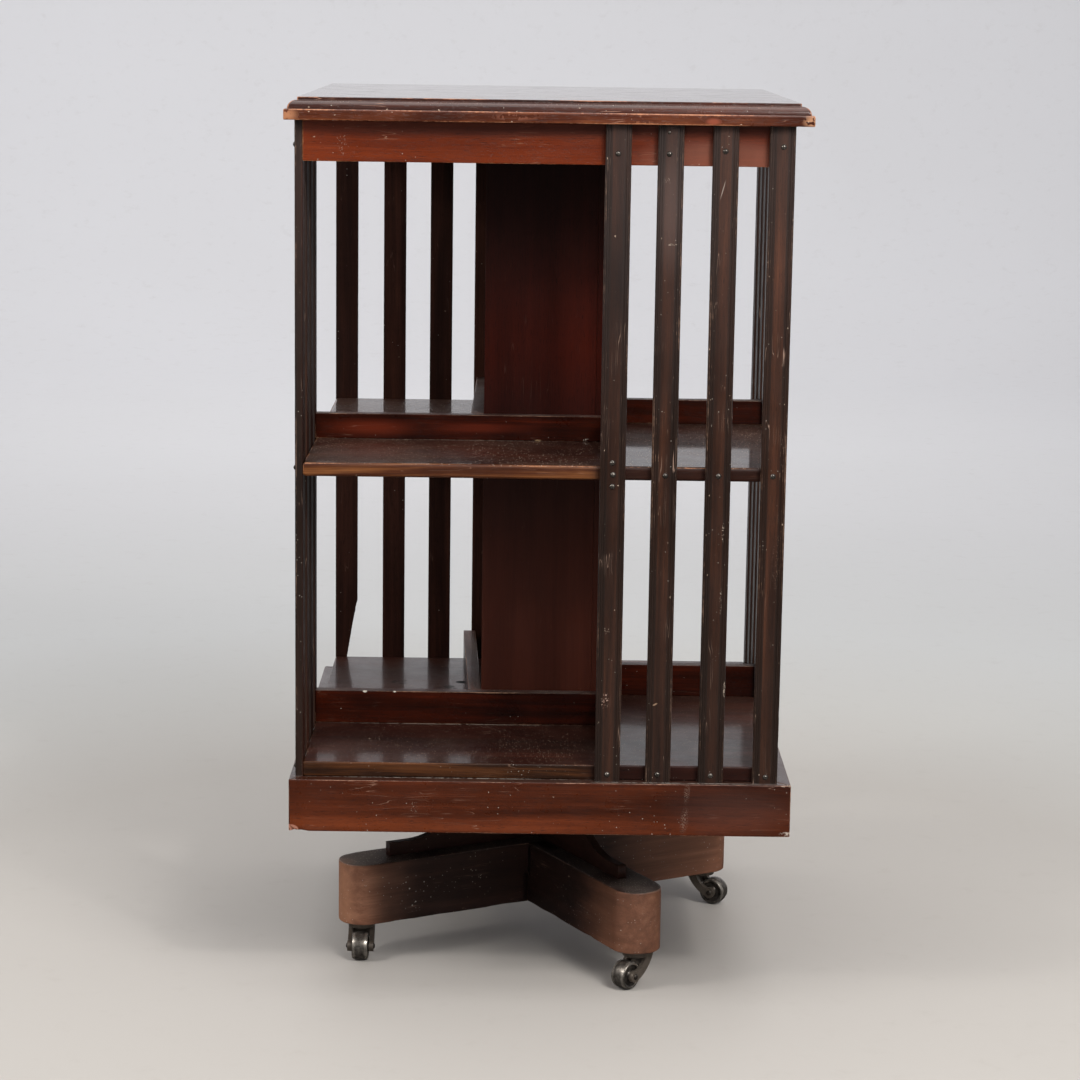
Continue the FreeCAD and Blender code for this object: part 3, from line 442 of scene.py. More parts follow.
# ------------------------------------------------------------------ materials
class Nodes:
    def __init__(self, name):
        self.mat = bpy.data.materials.new(name)
        self.mat.use_nodes = True
        self.t = self.mat.node_tree
        self.t.nodes.clear()
        self.out = self.t.nodes.new("ShaderNodeOutputMaterial")
        self.bsdf = self.t.nodes.new("ShaderNodeBsdfPrincipled")
        self.t.links.new(self.bsdf.outputs[0], self.out.inputs[0])

    def put(self, socket, value):
        if isinstance(value, bpy.types.NodeSocket):
            self.t.links.new(value, socket)
        elif value is not None:
            if hasattr(socket.default_value, "__len__") and not hasattr(value, "__len__"):
                value = [value] * len(socket.default_value)
            if hasattr(value, "__len__") and len(socket.default_value) == 4 and len(value) == 3:
                value = (*value, 1.0)
            socket.default_value = value

    def attr(self, name, out="Vector"):
        n = self.t.nodes.new("ShaderNodeAttribute")
        n.attribute_name = name
        return n.outputs[out]

    def mapping(self, vec, scale=(1, 1, 1), rot=(0, 0, 0), loc=(0, 0, 0)):
        n = self.t.nodes.new("ShaderNodeMapping")
        self.put(n.inputs["Vector"], vec)
        n.inputs["Scale"].default_value = scale
        n.inputs["Rotation"].default_value = [math.radians(a) for a in rot]
        n.inputs["Location"].default_value = loc
        return n.outputs[0]

    def noise(self, vec, scale=1.0, detail=2.0, rough=0.5, distortion=0.0, out="Fac"):
        n = self.t.nodes.new("ShaderNodeTexNoise")
        self.put(n.inputs["Vector"], vec)
        n.inputs["Scale"].default_value = scale
        n.inputs["Detail"].default_value = detail
        n.inputs["Roughness"].default_value = rough
        n.inputs["Distortion"].default_value = distortion
        return n.outputs[out]

    def cells(self, vec, scale=1.0, out="Distance", feature="F1", randomness=1.0):
        n = self.t.nodes.new("ShaderNodeTexVoronoi")
        n.feature = feature
        self.put(n.inputs["Vector"], vec)
        n.inputs["Scale"].default_value = scale
        n.inputs["Randomness"].default_value = randomness
        return n.outputs[out]

    def math(self, op, a, b=None, c=None, clamp=False):
        n = self.t.nodes.new("ShaderNodeMath")
        n.operation = op
        n.use_clamp = clamp
        for i, v in enumerate((a, b, c)):
            if v is not None:
                self.put(n.inputs[i], v)
        return n.outputs[0]

    def add(self, a, b):
        return self.math("ADD", a, b)

    def mul(self, a, b):
        return self.math("MULTIPLY", a, b)

    def vadd(self, a, b):
        n = self.t.nodes.new("ShaderNodeVectorMath")
        n.operation = "ADD"
        self.put(n.inputs[0], a)
        self.put(n.inputs[1], b)
        return n.outputs[0]

    def vscale(self, a, k):
        n = self.t.nodes.new("ShaderNodeVectorMath")
        n.operation = "MULTIPLY"
        self.put(n.inputs[0], a)
        self.put(n.inputs[1], k if isinstance(k, (tuple, bpy.types.NodeSocket)) else (k, k, k))
        return n.outputs[0]

    def length(self, vec):
        n = self.t.nodes.new("ShaderNodeVectorMath")
        n.operation = "LENGTH"
        self.put(n.inputs[0], vec)
        return n.outputs["Value"]

    def xyz(self, vec):
        n = self.t.nodes.new("ShaderNodeSeparateXYZ")
        self.put(n.inputs[0], vec)
        return n.outputs

    def step(self, value, lo, hi, a=0.0, b=1.0, kind="SMOOTHSTEP"):
        n = self.t.nodes.new("ShaderNodeMapRange")
        n.interpolation_type = kind
        self.put(n.inputs["Value"], value)
        n.inputs["From Min"].default_value = lo
        n.inputs["From Max"].default_value = hi
        n.inputs["To Min"].default_value = a
        n.inputs["To Max"].default_value = b
        return n.outputs[0]

    def mix(self, fac, a, b, blend="MIX"):
        n = self.t.nodes.new("ShaderNodeMix")
        n.data_type = "RGBA"
        n.blend_type = blend
        n.clamp_factor = True
        self.put(n.inputs[0], fac)
        self.put(n.inputs[6], a)
        self.put(n.inputs[7], b)
        return n.outputs[2]

    def ramp(self, fac, stops, kind="LINEAR"):
        n = self.t.nodes.new("ShaderNodeValToRGB")
        n.color_ramp.interpolation = kind
        els = n.color_ramp.elements
        while len(els) > 1:
            els.remove(els[-1])
        els[0].position, els[0].color = stops[0][0], (*stops[0][1], 1)
        for pos, col in stops[1:]:
            e = els.new(pos)
            e.color = (*col, 1)
        self.put(n.inputs[0], fac)
        return n.outputs[0]

    def bump(self, height, distance, strength=1.0, normal=None):
        n = self.t.nodes.new("ShaderNodeBump")
        self.put(n.inputs["Height"], height)
        n.inputs["Distance"].default_value = distance
        n.inputs["Strength"].default_value = strength
        if normal is not None:
            self.put(n.inputs["Normal"], normal)
        return n.outputs[0]

    def normal(self, out="Normal"):
        return self.t.nodes.new("ShaderNodeNewGeometry").outputs[out]

    def set(self, name, value):
        self.put(self.bsdf.inputs[name], value)


def lin(r, g, b):
    """sRGB 0-255 to linear."""
    def f(c):
        c /= 255.0
        return c / 12.92 if c <= 0.04045 else ((c + 0.055) / 1.055) ** 2.4
    return (f(r), f(g), f(b))


def wood(name, dark, mid, light, worn, rough=(0.26, 0.42), coat=0.25, coat_rough=0.12, wear=1.6, wear_cut=0.5,
         figure=1.0, streak=1.0, pores=1.0, scratch=0.5, along=0.5, dust=0.0, dust_color=None, film=0.42, grit=0.5,
         blotch=0.35, specks=0.0, specular=0.5, worn_rough=0.5, nicks=0.0, rub=None, rub_noise=0.5, rub_top=True,
         edge_tint=None, inside=None, ripple=0.00022, spots=(), coat_side=None, top_dark=0.0,
         grit_color=None, grit_size=(450, 130, 450), rub_grain=0.0):
    """A stained and polished hardwood. Lengths in the nodes are metres along
    (x), across (y) and through (z) the grain."""
    n = Nodes(name)
    v = n.attr("wood")
    arris = n.attr("arris", "Fac")
    place = n.t.nodes.new("ShaderNodeTexCoord").outputs["Object"]
    # slow bending of the grain
    warp = n.noise(n.mapping(v, (1.6, 7, 7)), 1.0, 2.0, 0.5, out="Color")
    warp = n.vscale(n.vadd(warp, (-0.5, -0.5, -0.5)), (0.0, 0.022, 0.022))
    g = n.vadd(v, warp)
    fig = n.noise(n.mapping(g, (1.3, 21, 21)), 1.0, 3.0, 0.55, 0.5)
    strk = n.noise(n.mapping(g, (4.0, 150, 150)), 1.0, 5.0, 0.62)
    fibre = n.noise(n.mapping(g, (26, 950, 950)), 1.0, 2.0, 0.6)
    t = n.add(n.mul(fig, 0.62 * figure), n.add(n.mul(strk, 0.62 * streak), n.mul(fibre, 0.16)))
    t = n.step(t, 0.36 * figure + 0.31 * streak - 0.16, 0.36 * figure + 0.31 * streak + 0.34, kind="LINEAR")

    def tones(d_, m_, l_):
        return n.ramp(t, [(0.0, d_), (0.32, tuple((a + b) / 2 for a, b in zip(d_, m_))), (0.55, m_), (1.0, l_)])

    col = tones(dark, mid, light)
    # darker and lighter patches of stain
    pat = n.noise(n.mapping(v, (5, 11, 11)), 1.0, 3.0, 0.55)
    patk = n.step(pat, 0.3, 0.7, 1.0 - blotch, 1.0 + blotch, "LINEAR")
    col = n.mix(1.0, col, patk, "MULTIPLY")
    up = n.step(n.xyz(n.normal())[2], 0.35, 0.95)
    # open pores filled with dark stain
    pore_n = n.noise(n.mapping(g, (120, 2100, 2100)), 1.0, 1.0, 0.5)
    pore = n.step(pore_n, 0.60, 0.70)
    col = n.mix(n.mul(pore, 0.55 * pores), col, tuple(c * 0.35 for c in dark))
    free = None
    if rub:
        # handled places, paler and worn; on the foot the same blend also paints light and shade along the arms
        rb = n.attr("rub", "Fac")
        pat2 = n.noise(n.mapping(v, (16, 60, 60)), 1.0, 3.0, 0.6)
        rb = n.add(rb, n.mul(n.add(n.add(n.mul(pat, 0.5), n.mul(pat2, 0.5)), -0.5), rub_noise))
        rb = n.step(rb, 0.15, 0.95)
        if not rub_top:
            rb = n.mul(rb, n.add(1.0, n.mul(up, -1.0)))
        t2 = t
        if rub_grain:
            t2 = n.step(n.add(n.mul(strk, 0.85), n.mul(pat2, 0.15)), 0.35, 0.65, kind="LINEAR")
            t2 = n.add(n.mul(t2, rub_grain), n.mul(t, 1.0 - rub_grain))
        col = n.mix(rb, col, n.ramp(t2, [(0.0, tuple(c * 0.5 for c in rub[0])), (0.45, rub[0]), (1.0, rub[1])]))
    if edge_tint or inside:
        # rub is 0 on the flat, 0.5 in the mouldings and 1 on the faces that look inwards
        zone = n.attr("rub", "Fac")
        inner = n.step(zone, 0.65, 0.9)
        if edge_tint:
            et = n.mul(n.step(zone, 0.18, 0.38), n.add(1.0, n.mul(inner, -1.0)))
            et = n.mul(et, n.step(n.noise(n.mapping(v, (9, 40, 40)), 1.0, 2.0), 0.3, 0.65, 0.75, 1.1, "LINEAR"))
            col = n.mix(n.mul(et, edge_tint[1]), col, n.mix(fibre, tuple(c * 0.7 for c in edge_tint[0]), edge_tint[0]))
        if inside:
            col = n.mix(inner, col, tones(*inside))
            free = n.add(1.0, n.mul(inner, -0.93))
    # wear along the arrises
    wn = n.noise(v, 210.0, 3.0, 0.6)
    wl = n.noise(n.mapping(v, (14, 30, 30)), 1.0, 2.0, 0.5)
    near = n.step(arris, 0.0, wear * MM, 1.0, 0.0, "LINEAR")
    wk = n.add(near, n.add(n.mul(n.add(wn, -0.5), 1.3), n.mul(n.add(wl, -wear_cut), 2.2)))
    wk = n.mul(n.step(wk, 0.62, 1.05), n.step(arris, wear * 1.6 * MM, wear * 2.6 * MM, 1.0, 0.0))
    if free is not None:
        wk = n.mul(wk, free)
    col = n.mix(wk, col, n.mix(fibre, tuple(c * 0.72 for c in worn), worn))
    # fine scratches in three directions
    marks = None
    for rot, sc, seed, cut, k in (((0, 0, 24), (10, 210, 160), 3.7, 0.62, 1.0), ((0, 18, -38), (12, 170, 210), 8.1, 0.63, 1.0),
                                  ((9, 0, 4), (6, 320, 300), 1.9, 0.60, along)):
        m = n.mapping(v, sc, rot, (seed, seed * 2, seed * 3))
        line = n.math("ABSOLUTE", n.add(n.noise(m, 1.0, 1.0, 0.5), -0.5))
        line = n.step(line, 0.0, 0.0085, k, 0.0)
        there = n.step(n.noise(n.mapping(v, (22, 30, 30), (0, 0, 0), (seed * 5, seed, seed)), 1.0, 2.0), cut - 0.03, cut + 0.06)
        line = n.mul(line, there)
        marks = line if marks is None else n.math("MAXIMUM", marks, line)
    if free is not None:
        marks = n.mul(marks, free)
    col = n.mix(n.mul(marks, scratch), col, n.mix(0.5, worn, lin(158, 134, 120)))
    rgh = n.step(n.noise(v, 34.0, 4.0, 0.6), 0.3, 0.7, rough[0], rough[1], "LINEAR")
    rgh = n.add(rgh, n.mul(pore, 0.10))
    rgh = n.mix(wk, rgh, (worn_rough,) * 3)
    rgh = n.mix(n.mul(marks, scratch * 0.8), rgh, (0.55,) * 3)
    if nicks:
        # small ragged bruises down to pale wood, more of them near an arris
        q = n.vadd(v, n.vscale(n.vadd(n.noise(v, 900.0, 1.0, 0.5, out="Color"), (-0.5, -0.5, -0.5)), 0.0016))
        q = n.mapping(q, (210, 330, 330))
        who = n.xyz(n.cells(q, 1.0, "Color"))
        pick = n.step(n.add(who[0], n.step(arris, 0.0, 3.0 * MM, nicks * 1.6, 0.0)), 1.0 - nicks, 1.0 - nicks + 0.01)
        c = n.add(n.cells(q, 1.0), n.mul(who[1], -0.14))
        nick = n.mul(n.step(c, 0.05, 0.11, 1.0, 0.0), pick)
        if free is not None:
            nick = n.mul(nick, free)
        col = n.mix(n.mul(nick, 0.85), col, lin(196, 172, 150))
        rgh = n.mix(nick, rgh, (0.6,) * 3)
    if specks:
        c = n.cells(v, 330.0)
        who = n.step(n.xyz(n.cells(v, 330.0, "Color"))[1], 1.0 - specks, 1.0 - specks + 0.02)
        patch = n.step(n.noise(v, 16.0, 3.0, 0.6), 0.42, 0.62)
        sp = n.mul(n.mul(n.step(c, 0.10, 0.19, 1.0, 0.0), who), patch)
        if free is not None:
            sp = n.mul(sp, free)
        col = n.mix(n.mul(sp, 0.8), col, lin(190, 180, 168))
        rgh = n.mix(sp, rgh, (0.8,) * 3)
    dull = None
    if top_dark:
        # what faces up is darker
        col = n.mix(n.mul(up, top_dark), col, tuple(c * 0.8 for c in dark))
    if dust:
        # dust lies on what faces up
        veil = n.step(n.noise(v, 9.0, 5.0, 0.65), 0.36, 0.66)
        gv = n.mapping(v, grit_size)
        grit_c = n.cells(gv, 1.0)
        grit_w = n.step(n.xyz(n.cells(gv, 1.0, "Color"))[0], 1.0 - grit, 1.1 - grit)
        there = n.step(n.noise(v, 7.0, 3.0, 0.6), 0.34, 0.6, 0.35, 1.0)
        gr = n.mul(n.mul(n.step(grit_c, 0.14, 0.26, 1.0, 0.0), grit_w), there)
        d1 = n.mul(up, n.mul(veil, film * dust))
        dull = n.mul(up, n.mul(gr, 0.9 * min(1.0, dust * 1.8)))
        dc = dust_color or lin(160, 136, 118)
        col = n.mix(d1, col, dc)
        col = n.mix(dull, col, grit_color or dc)
        rgh = n.mix(n.mul(n.math("MAXIMUM", d1, dull), 0.9), rgh, (0.85,) * 3)
    for sp_ in spots:
        # marks with a place of their own, and painted light and shade placed the same way; at and size are millimetres
        q = n.vadd(place, tuple(-c * MM for c in sp_["at"]))
        q = n.mapping(q, (1, 1, 1), sp_.get("turn", (0, 0, 0)))
        q = n.mapping(q, tuple(1000.0 / c for c in sp_["size"]))
        m = n.step(n.length(q), sp_.get("soft", 0.6), 1.0, 1.0, 0.0)
        if "grain" in sp_:
            sc, cut = sp_["grain"]
            m = n.mul(m, n.step(n.noise(place, sc, 2.0, 0.6), cut - 0.03, cut + 0.03))
        if "dots" in sp_:
            sc, share = sp_["dots"]
            w = n.step(n.xyz(n.cells(place, sc, "Color"))[0], 1.0 - share, 1.02 - share)
            m = n.mul(m, n.mul(w, n.step(n.cells(place, sc), 0.14, 0.24, 1.0, 0.0)))
        col = n.mix(n.mul(m, sp_.get("k", 0.9)), col, sp_["color"])
        if sp_.get("flat"):
            dull = n.mul(m, sp_["flat"]) if dull is None else n.math("MAXIMUM", dull, n.mul(m, sp_["flat"]))
        rgh = n.mix(m, rgh, (0.6,) * 3)
    n.set("Base Color", col)
    n.set("Roughness", rgh)
    n.set("Specular IOR Level", specular)
    # polish on upright faces is thinner where coat_side is given
    cw = coat if coat_side is None else n.step(n.xyz(n.normal())[2], 0.9, 0.99, coat_side, coat)
    if dull is not None:
        cw = n.mul(n.add(1.0, n.mul(dull, -1.0)), cw)
    n.set("Coat Weight", cw)
    n.set("Coat Roughness", coat_rough)
    h = n.add(n.mul(fibre, 0.25), n.mul(strk, 0.35))
    h = n.add(h, n.mul(pore, -0.6))
    h = n.add(h, n.mul(marks, -0.9 * min(1.0, scratch * 1.5)))
    h = n.add(h, n.mul(wk, -0.7))
    orange = n.noise(n.mapping(v, (38, 52, 52)), 1.0, 2.0, 0.5)
    b = n.bump(h, 0.00007)
    b = n.bump(orange, ripple, 1.0, b)
    n.set("Normal", b)
    return n.mat


def iron(name, dark, light, rough=(0.35, 0.6), metallic=0.9, rust=0.25, coord=None, wear_and_highlight_at=None, polish=None,
         polish_rough=0.22, bump=0.00012):
    """Old blackened cast iron with brighter rubbed places and a little rust."""
    n = Nodes(name)
    tc = n.t.nodes.new("ShaderNodeTexCoord").outputs["Object"]
    a = n.noise(tc, 260.0, 5.0, 0.62)
    b = n.noise(tc, 60.0, 3.0, 0.5)
    pit = n.cells(tc, 900.0)
    col = n.ramp(n.add(n.mul(a, 0.6), n.mul(b, 0.4)), [(0.34, dark), (0.52, tuple((x + y) / 2 for x, y in zip(dark, light))), (0.68, light)])
    r_mask = n.step(n.noise(tc, 120.0, 4.0, 0.7), 0.55, 0.72)
    col = n.mix(n.mul(r_mask, rust), col, lin(92, 56, 38))
    rgh = n.step(n.add(n.mul(a, 0.5), n.mul(b, 0.5)), 0.35, 0.65, rough[0], rough[1], "LINEAR")
    met = n.add(metallic, n.mul(r_mask, -rust * 1.2))
    if wear_and_highlight_at:
        # arris holds how rubbed the place is; on the wheels it also holds painted highlights near the rims
        w = n.attr("arris", "Fac")
        w = n.step(n.add(w, n.mul(n.add(a, -0.5), 0.5)), wear_and_highlight_at[0], wear_and_highlight_at[1])
        col = n.mix(w, col, polish)
        rgh = n.mix(w, rgh, (polish_rough,) * 3)
    n.set("Base Color", col)
    n.set("Roughness", rgh)
    n.set("Metallic", met)
    h = n.add(n.mul(a, 0.6), n.mul(n.step(pit, 0.0, 0.35), 0.4))
    n.set("Normal", n.bump(h, bump))
    return n.mat


def stain(*c):
    return lin(*c)


PALE = stain(196, 178, 160)
M_TOP = wood("top_mahogany", stain(34, 13, 8), stain(66, 30, 19), stain(98, 49, 31), stain(186, 120, 80),
             rough=(0.18, 0.3), coat=0.9, coat_side=0.2, coat_rough=0.05, wear=1.5, wear_cut=0.43, blotch=0.4, scratch=1.0,
             specks=0.14, nicks=0.03, dust=0.12, specular=0.42, rub=(stain(96, 48, 29), stain(168, 100, 60)), rub_noise=2.3, rub_grain=0.5,
             spots=[{"at": (-242, -243, 850), "size": (16, 8, 9), "color": stain(190, 128, 88), "soft": 0.2, "grain": (160, 0.42), "k": 0.75},
                    {"at": (242, -243, 850), "size": (13, 8, 9), "color": stain(200, 144, 104), "soft": 0.2, "grain": (160, 0.46), "k": 0.75},
                    {"at": (150, -243, 849), "size": (9, 8, 4), "color": stain(150, 66, 34), "soft": 0.3, "k": 0.7},
                    {"at": (-30, -240, 851), "size": (30, 9, 5), "color": stain(150, 88, 60), "soft": 0.2, "grain": (130, 0.5), "k": 0.6}])
M_FRIEZE = wood("frieze_mahogany", stain(78, 25, 8), stain(125, 50, 18), stain(151, 67, 29), stain(190, 130, 88),
                rough=(0.3, 0.42), coat=0.06, coat_rough=0.2, wear=1.2, wear_cut=0.5, blotch=0.16, scratch=0.4,
                specks=0.06, nicks=0.008, figure=0.8, streak=0.5, specular=0.25,
                spots=[{"at": (-190, -227, 824), "size": (7, 4, 12), "color": PALE, "grain": (700, 0.64), "k": 0.4},
                       {"at": (160, -227, 812), "size": (100, 8, 26), "color": stain(134, 90, 74), "soft": 0.4, "k": 0.4},
                       # painted shade: a dark band along the top of the frieze, the shadow under the top board's
                       # overhang
                       {"at": (0, -227, 842), "size": (500, 8, 14), "color": stain(38, 15, 8), "soft": 0.2, "k": 0.5}])
M_PLINTH = wood("plinth_mahogany", stain(46, 18, 8), stain(94, 41, 18), stain(124, 58, 27), stain(188, 138, 110),
                rough=(0.24, 0.38), coat=0.5, coat_side=0.14, coat_rough=0.16, wear=1.3, wear_cut=0.52, blotch=0.26, scratch=0.4,
                specks=0.12, nicks=0.006, figure=1.5, streak=0.5, specular=0.33, dust=0.3, film=0.3, top_dark=0.72,
                dust_color=stain(110, 100, 92), grit_color=stain(176, 166, 156),
                spots=[{"at": (140.5, -240, 214), "size": (3.8, 6, 14), "turn": (0, -5, 0), "color": PALE, "grain": (1100, 0.57), "k": 0.42, "soft": 0.1},
                       {"at": (138.5, -240, 186), "size": (5.2, 6, 17), "turn": (0, -5, 0), "color": PALE, "grain": (1100, 0.57), "k": 0.42, "soft": 0.1},
                       {"at": (-239, -240, 173), "size": (9, 8, 5), "color": stain(186, 128, 106), "soft": 0.8, "grain": (260, 0.4)},
                       {"at": (185, -240, 196), "size": (80, 8, 34), "color": stain(104, 56, 38), "k": 0.18, "soft": 0.2},
                       {"at": (-120, -240, 196), "size": (5, 5, 7), "color": PALE, "grain": (900, 0.62), "k": 0.5},
                       {"at": (236, -240, 222), "size": (8, 6, 2.0), "color": PALE, "grain": (500, 0.54), "k": 0.5},
                       {"at": (236, -240, 174), "size": (7, 6, 2.6), "color": stain(206, 190, 176), "grain": (420, 0.52), "k": 0.7},
                       {"at": (-90, -HALF - 1.0, BOARD_LOW), "size": (190, 1.9, 2), "color": stain(150, 142, 132), "grain": (300, 0.46), "k": 0.75, "soft": 0.3, "flat": 0.8},
                       {"at": (134, -HALF - SLAT_T - 0.8, BOARD_LOW), "size": (130, 1.7, 2), "color": stain(160, 152, 142), "grain": (300, 0.46), "k": 0.75, "soft": 0.3, "flat": 0.8}])
# the first two are painted light and shade: a pale grey sheen on the slats towards the top, and darker, browner slats
# towards the bottom
SLAT_MARKS_AND_PAINTED_LIGHT = [{"at": (0, 0, 860), "size": (700, 700, 420), "color": stain(84, 72, 70), "soft": 0.0, "k": 0.18},
              {"at": (0, 0, 240), "size": (700, 700, 420), "color": stain(36, 20, 8), "soft": 0.0, "k": 0.36},
              # painted shade: the slats on the left face are darker
              {"at": (-239, 0, 560), "size": (14, 300, 420), "color": stain(20, 13, 11), "soft": 0.8, "k": 0.5},
              {"at": (113, -236, 770), "size": (16, 6, 80), "color": stain(112, 92, 86), "soft": 0.1, "k": 0.3},
              {"at": (160.8, -235, 786.6), "size": (0.6, 3, 11), "turn": (0, -15, 0), "color": stain(160, 146, 136), "soft": 0.4, "k": 0.7},
              {"at": (115, -235, 735.8), "size": (6.5, 3, 1.0), "color": PALE, "grain": (700, 0.53), "k": 0.7},
              {"at": (109, -235, 794), "size": (4, 3, 4), "color": PALE, "grain": (900, 0.62), "k": 0.6},
              {"at": (60.5, -235, 302), "size": (4.5, 3, 10), "color": stain(184, 152, 136), "grain": (620, 0.6), "k": 0.7},
              {"at": (174.2, -235, 314), "size": (1.6, 3, 10), "color": PALE, "grain": (620, 0.52), "k": 0.6},
              {"at": (108.5, -235, 299), "size": (3.0, 3, 1.1), "turn": (0, 28, 0), "color": stain(160, 130, 104), "soft": 0.5, "k": 0.7},
              {"at": (61.5, -235, 370), "size": (3.6, 3, 4.2), "turn": (0, 35, 0), "color": PALE, "grain": (800, 0.6), "k": 0.6},
              {"at": (220, -235, 440), "size": (5.0, 3, 34), "color": stain(170, 132, 110), "grain": (800, 0.65), "k": 0.5},
              {"at": (169, -235, 466), "size": (1.4, 3, 11), "color": PALE, "grain": (800, 0.58), "k": 0.7},
              {"at": (168.4, -235, 400), "size": (1.2, 3, 14), "color": PALE, "grain": (800, 0.6), "k": 0.7},
              {"at": (-235, -221, 668), "size": (3, 2.2, 2.6), "color": PALE, "soft": 0.5, "k": 0.8, "grain": (520, 0.44)},
              {"at": (-235, -219, 610), "size": (3, 3, 6), "color": PALE, "grain": (420, 0.45)}]
M_SLAT = wood("slat_mahogany", stain(30, 15, 9), stain(64, 35, 21), stain(99, 57, 36), stain(136, 104, 84),
              rough=(0.3, 0.45), coat=0.18, coat_rough=0.18, wear=0.46, wear_cut=0.54, blotch=0.38, scratch=1.0,
              along=0.16, specks=0.09, streak=1.05, nicks=0.011, specular=0.36,
              edge_tint=(stain(36, 24, 18), 0.76), spots=SLAT_MARKS_AND_PAINTED_LIGHT)
M_SLAT_IN = wood("slat_mahogany_inner", stain(32, 15, 10), stain(58, 31, 22), stain(84, 49, 34), stain(110, 70, 50),
                 rough=(0.42, 0.55), coat=0.0, coat_rough=0.3, wear=0.4, wear_cut=0.7, blotch=0.3, scratch=0.2,
                 specks=0.04, nicks=0.004, specular=0.12,
                 # painted shade: the inner faces of the slats on the left face are darker
                 spots=[{"at": (-232, 0, 560), "size": (20, 300, 420), "color": stain(18, 12, 10), "soft": 0.8, "k": 0.4}])
M_SHELF = wood("shelf_mahogany", stain(32, 14, 9), stain(54, 28, 19), stain(80, 42, 28), stain(176, 118, 80),
               rough=(0.34, 0.48), coat=0.7, coat_side=0.3, coat_rough=0.06, wear=1.3, wear_cut=0.53, blotch=0.35, scratch=0.4,
               specks=0.1, dust=0.46, film=0.36, grit=0.9, dust_color=stain(146, 116, 100), grit_color=stain(186, 164, 146),
               nicks=0.012, specular=0.22, rub=(stain(76, 38, 19), stain(138, 86, 46)), rub_noise=0.8, rub_grain=0.9, grit_size=(450, 125, 450), ripple=0.00009,
               spots=[{"at": (-85, -CORE - STOP_T - 1.2, SHELF_LOW + SHELF_T), "size": (150, 2.4, 3), "color": stain(150, 132, 120),
                       "grain": (260, 0.44), "k": 0.75, "soft": 0.3, "flat": 0.8}])
M_BOARD = wood("board_mahogany", stain(30, 12, 8), stain(53, 22, 14), stain(76, 34, 20), stain(160, 110, 76),
               rough=(0.34, 0.48), coat=0.5, coat_side=0.2, coat_rough=0.12, wear=1.2, wear_cut=0.56, blotch=0.4, scratch=0.4,
               specks=0.12, dust=0.3, film=0.3, grit=0.7, dust_color=stain(130, 100, 84), grit_color=stain(160, 136, 118),
               nicks=0.012, specular=0.22, rub=(stain(46, 25, 13), stain(96, 55, 26)), rub_noise=0.8, rub_grain=0.9, grit_size=(480, 130, 480), ripple=0.00012,
               spots=[{"at": (-83.4, 110.2, 236.5), "size": (7.2, 6.0, 4), "turn": (0, 0, -3), "color": stain(8, 6, 5), "soft": 0.85, "k": 1.0, "flat": 1.0},
                      {"at": (-150, 108, 236.5), "size": (12, 12, 4), "color": stain(14, 8, 6), "grain": (200, 0.47), "k": 0.8, "flat": 0.8},
                      {"at": (-150, 60, 236.5), "size": (14, 16, 4), "color": stain(16, 9, 7), "grain": (160, 0.48), "k": 0.8, "flat": 0.7},
                      {"at": (-98, 84, 236.5), "size": (12, 13, 4), "color": stain(16, 9, 7), "grain": (200, 0.5), "k": 0.8, "flat": 0.7},
                      {"at": (-85, -CORE - STOP_T - 1.2, BOARD_LOW + BOARD_T), "size": (150, 2.4, 3), "color": stain(150, 136, 124),
                       "grain": (260, 0.44), "k": 0.75, "soft": 0.3, "flat": 0.8}])
M_CORE = wood("core_mahogany", stain(44, 10, 4), stain(74, 20, 7), stain(100, 31, 12), stain(110, 60, 40),
              rough=(0.36, 0.48), coat=0.03, coat_rough=0.25, wear=0.7, wear_cut=0.6, blotch=0.13, scratch=0.16,
              figure=0.42, streak=0.3, specular=0.14, nicks=0.0015, rub=(stain(70, 34, 24), stain(88, 46, 32)), rub_noise=0.2,
              # painted shade: the core darkens towards the top, where the top board and frieze shade it
              spots=[{"at": (0, 0, 850), "size": (900, 900, 270), "color": stain(22, 14, 12), "soft": 0.16, "k": 0.8},
                     # painted shade: a darker band on the core just under and just above the shelf
                     {"at": (0, 0, 520), "size": (900, 900, 110), "color": stain(20, 12, 10), "soft": 0.1, "k": 0.5}])
M_STOP = wood("stop_mahogany", stain(20, 5, 2), stain(58, 17, 5), stain(114, 38, 12), stain(166, 126, 100),
              rough=(0.24, 0.36), coat=0.06, coat_rough=0.1, wear=0.9, wear_cut=0.5, blotch=0.75, scratch=0.25,
              along=0.2, specks=0.03, dust=0.6, film=0.7, specular=0.14, nicks=0.001, dust_color=stain(132, 118, 110),
              grit_color=stain(176, 162, 150),
              spots=[{"at": (-177, -CORE - STOP_T, BOARD_LOW + BOARD_T + STOP_DOWN), "size": (2.6, 2.4, 2.0), "color": stain(222, 214, 200), "soft": 0.7, "k": 1.0},
                     {"at": (-147, -CORE - STOP_T, BOARD_LOW + BOARD_T + STOP_DOWN), "size": (1.6, 2.0, 1.4), "color": stain(222, 214, 200), "soft": 0.7, "k": 1.0},
                     {"at": (42, -CORE - STOP_T, SHELF_LOW + SHELF_T + 1.5), "size": (4, 2.0, 1.6), "color": stain(200, 190, 176), "grain": (500, 0.5), "k": 0.7},
                     {"at": (-6, -CORE - STOP_T, SHELF_LOW + SHELF_T + 0.5), "size": (4, 2.0, 0.8), "color": stain(200, 170, 130), "soft": 0.5, "k": 0.8},
                     # painted light: two soft orange-red glows on the front upper stop, standing in for its highlights
                     {"at": (-60, -CORE - STOP_T, SHELF_LOW + SHELF_T + 12), "size": (70, 4, 7), "color": stain(150, 52, 18), "soft": 0.1, "k": 0.26},
                     {"at": (-170, -CORE - STOP_T, SHELF_LOW + SHELF_T + 11), "size": (60, 4, 12), "color": stain(150, 54, 20), "soft": 0.0, "k": 0.36}])
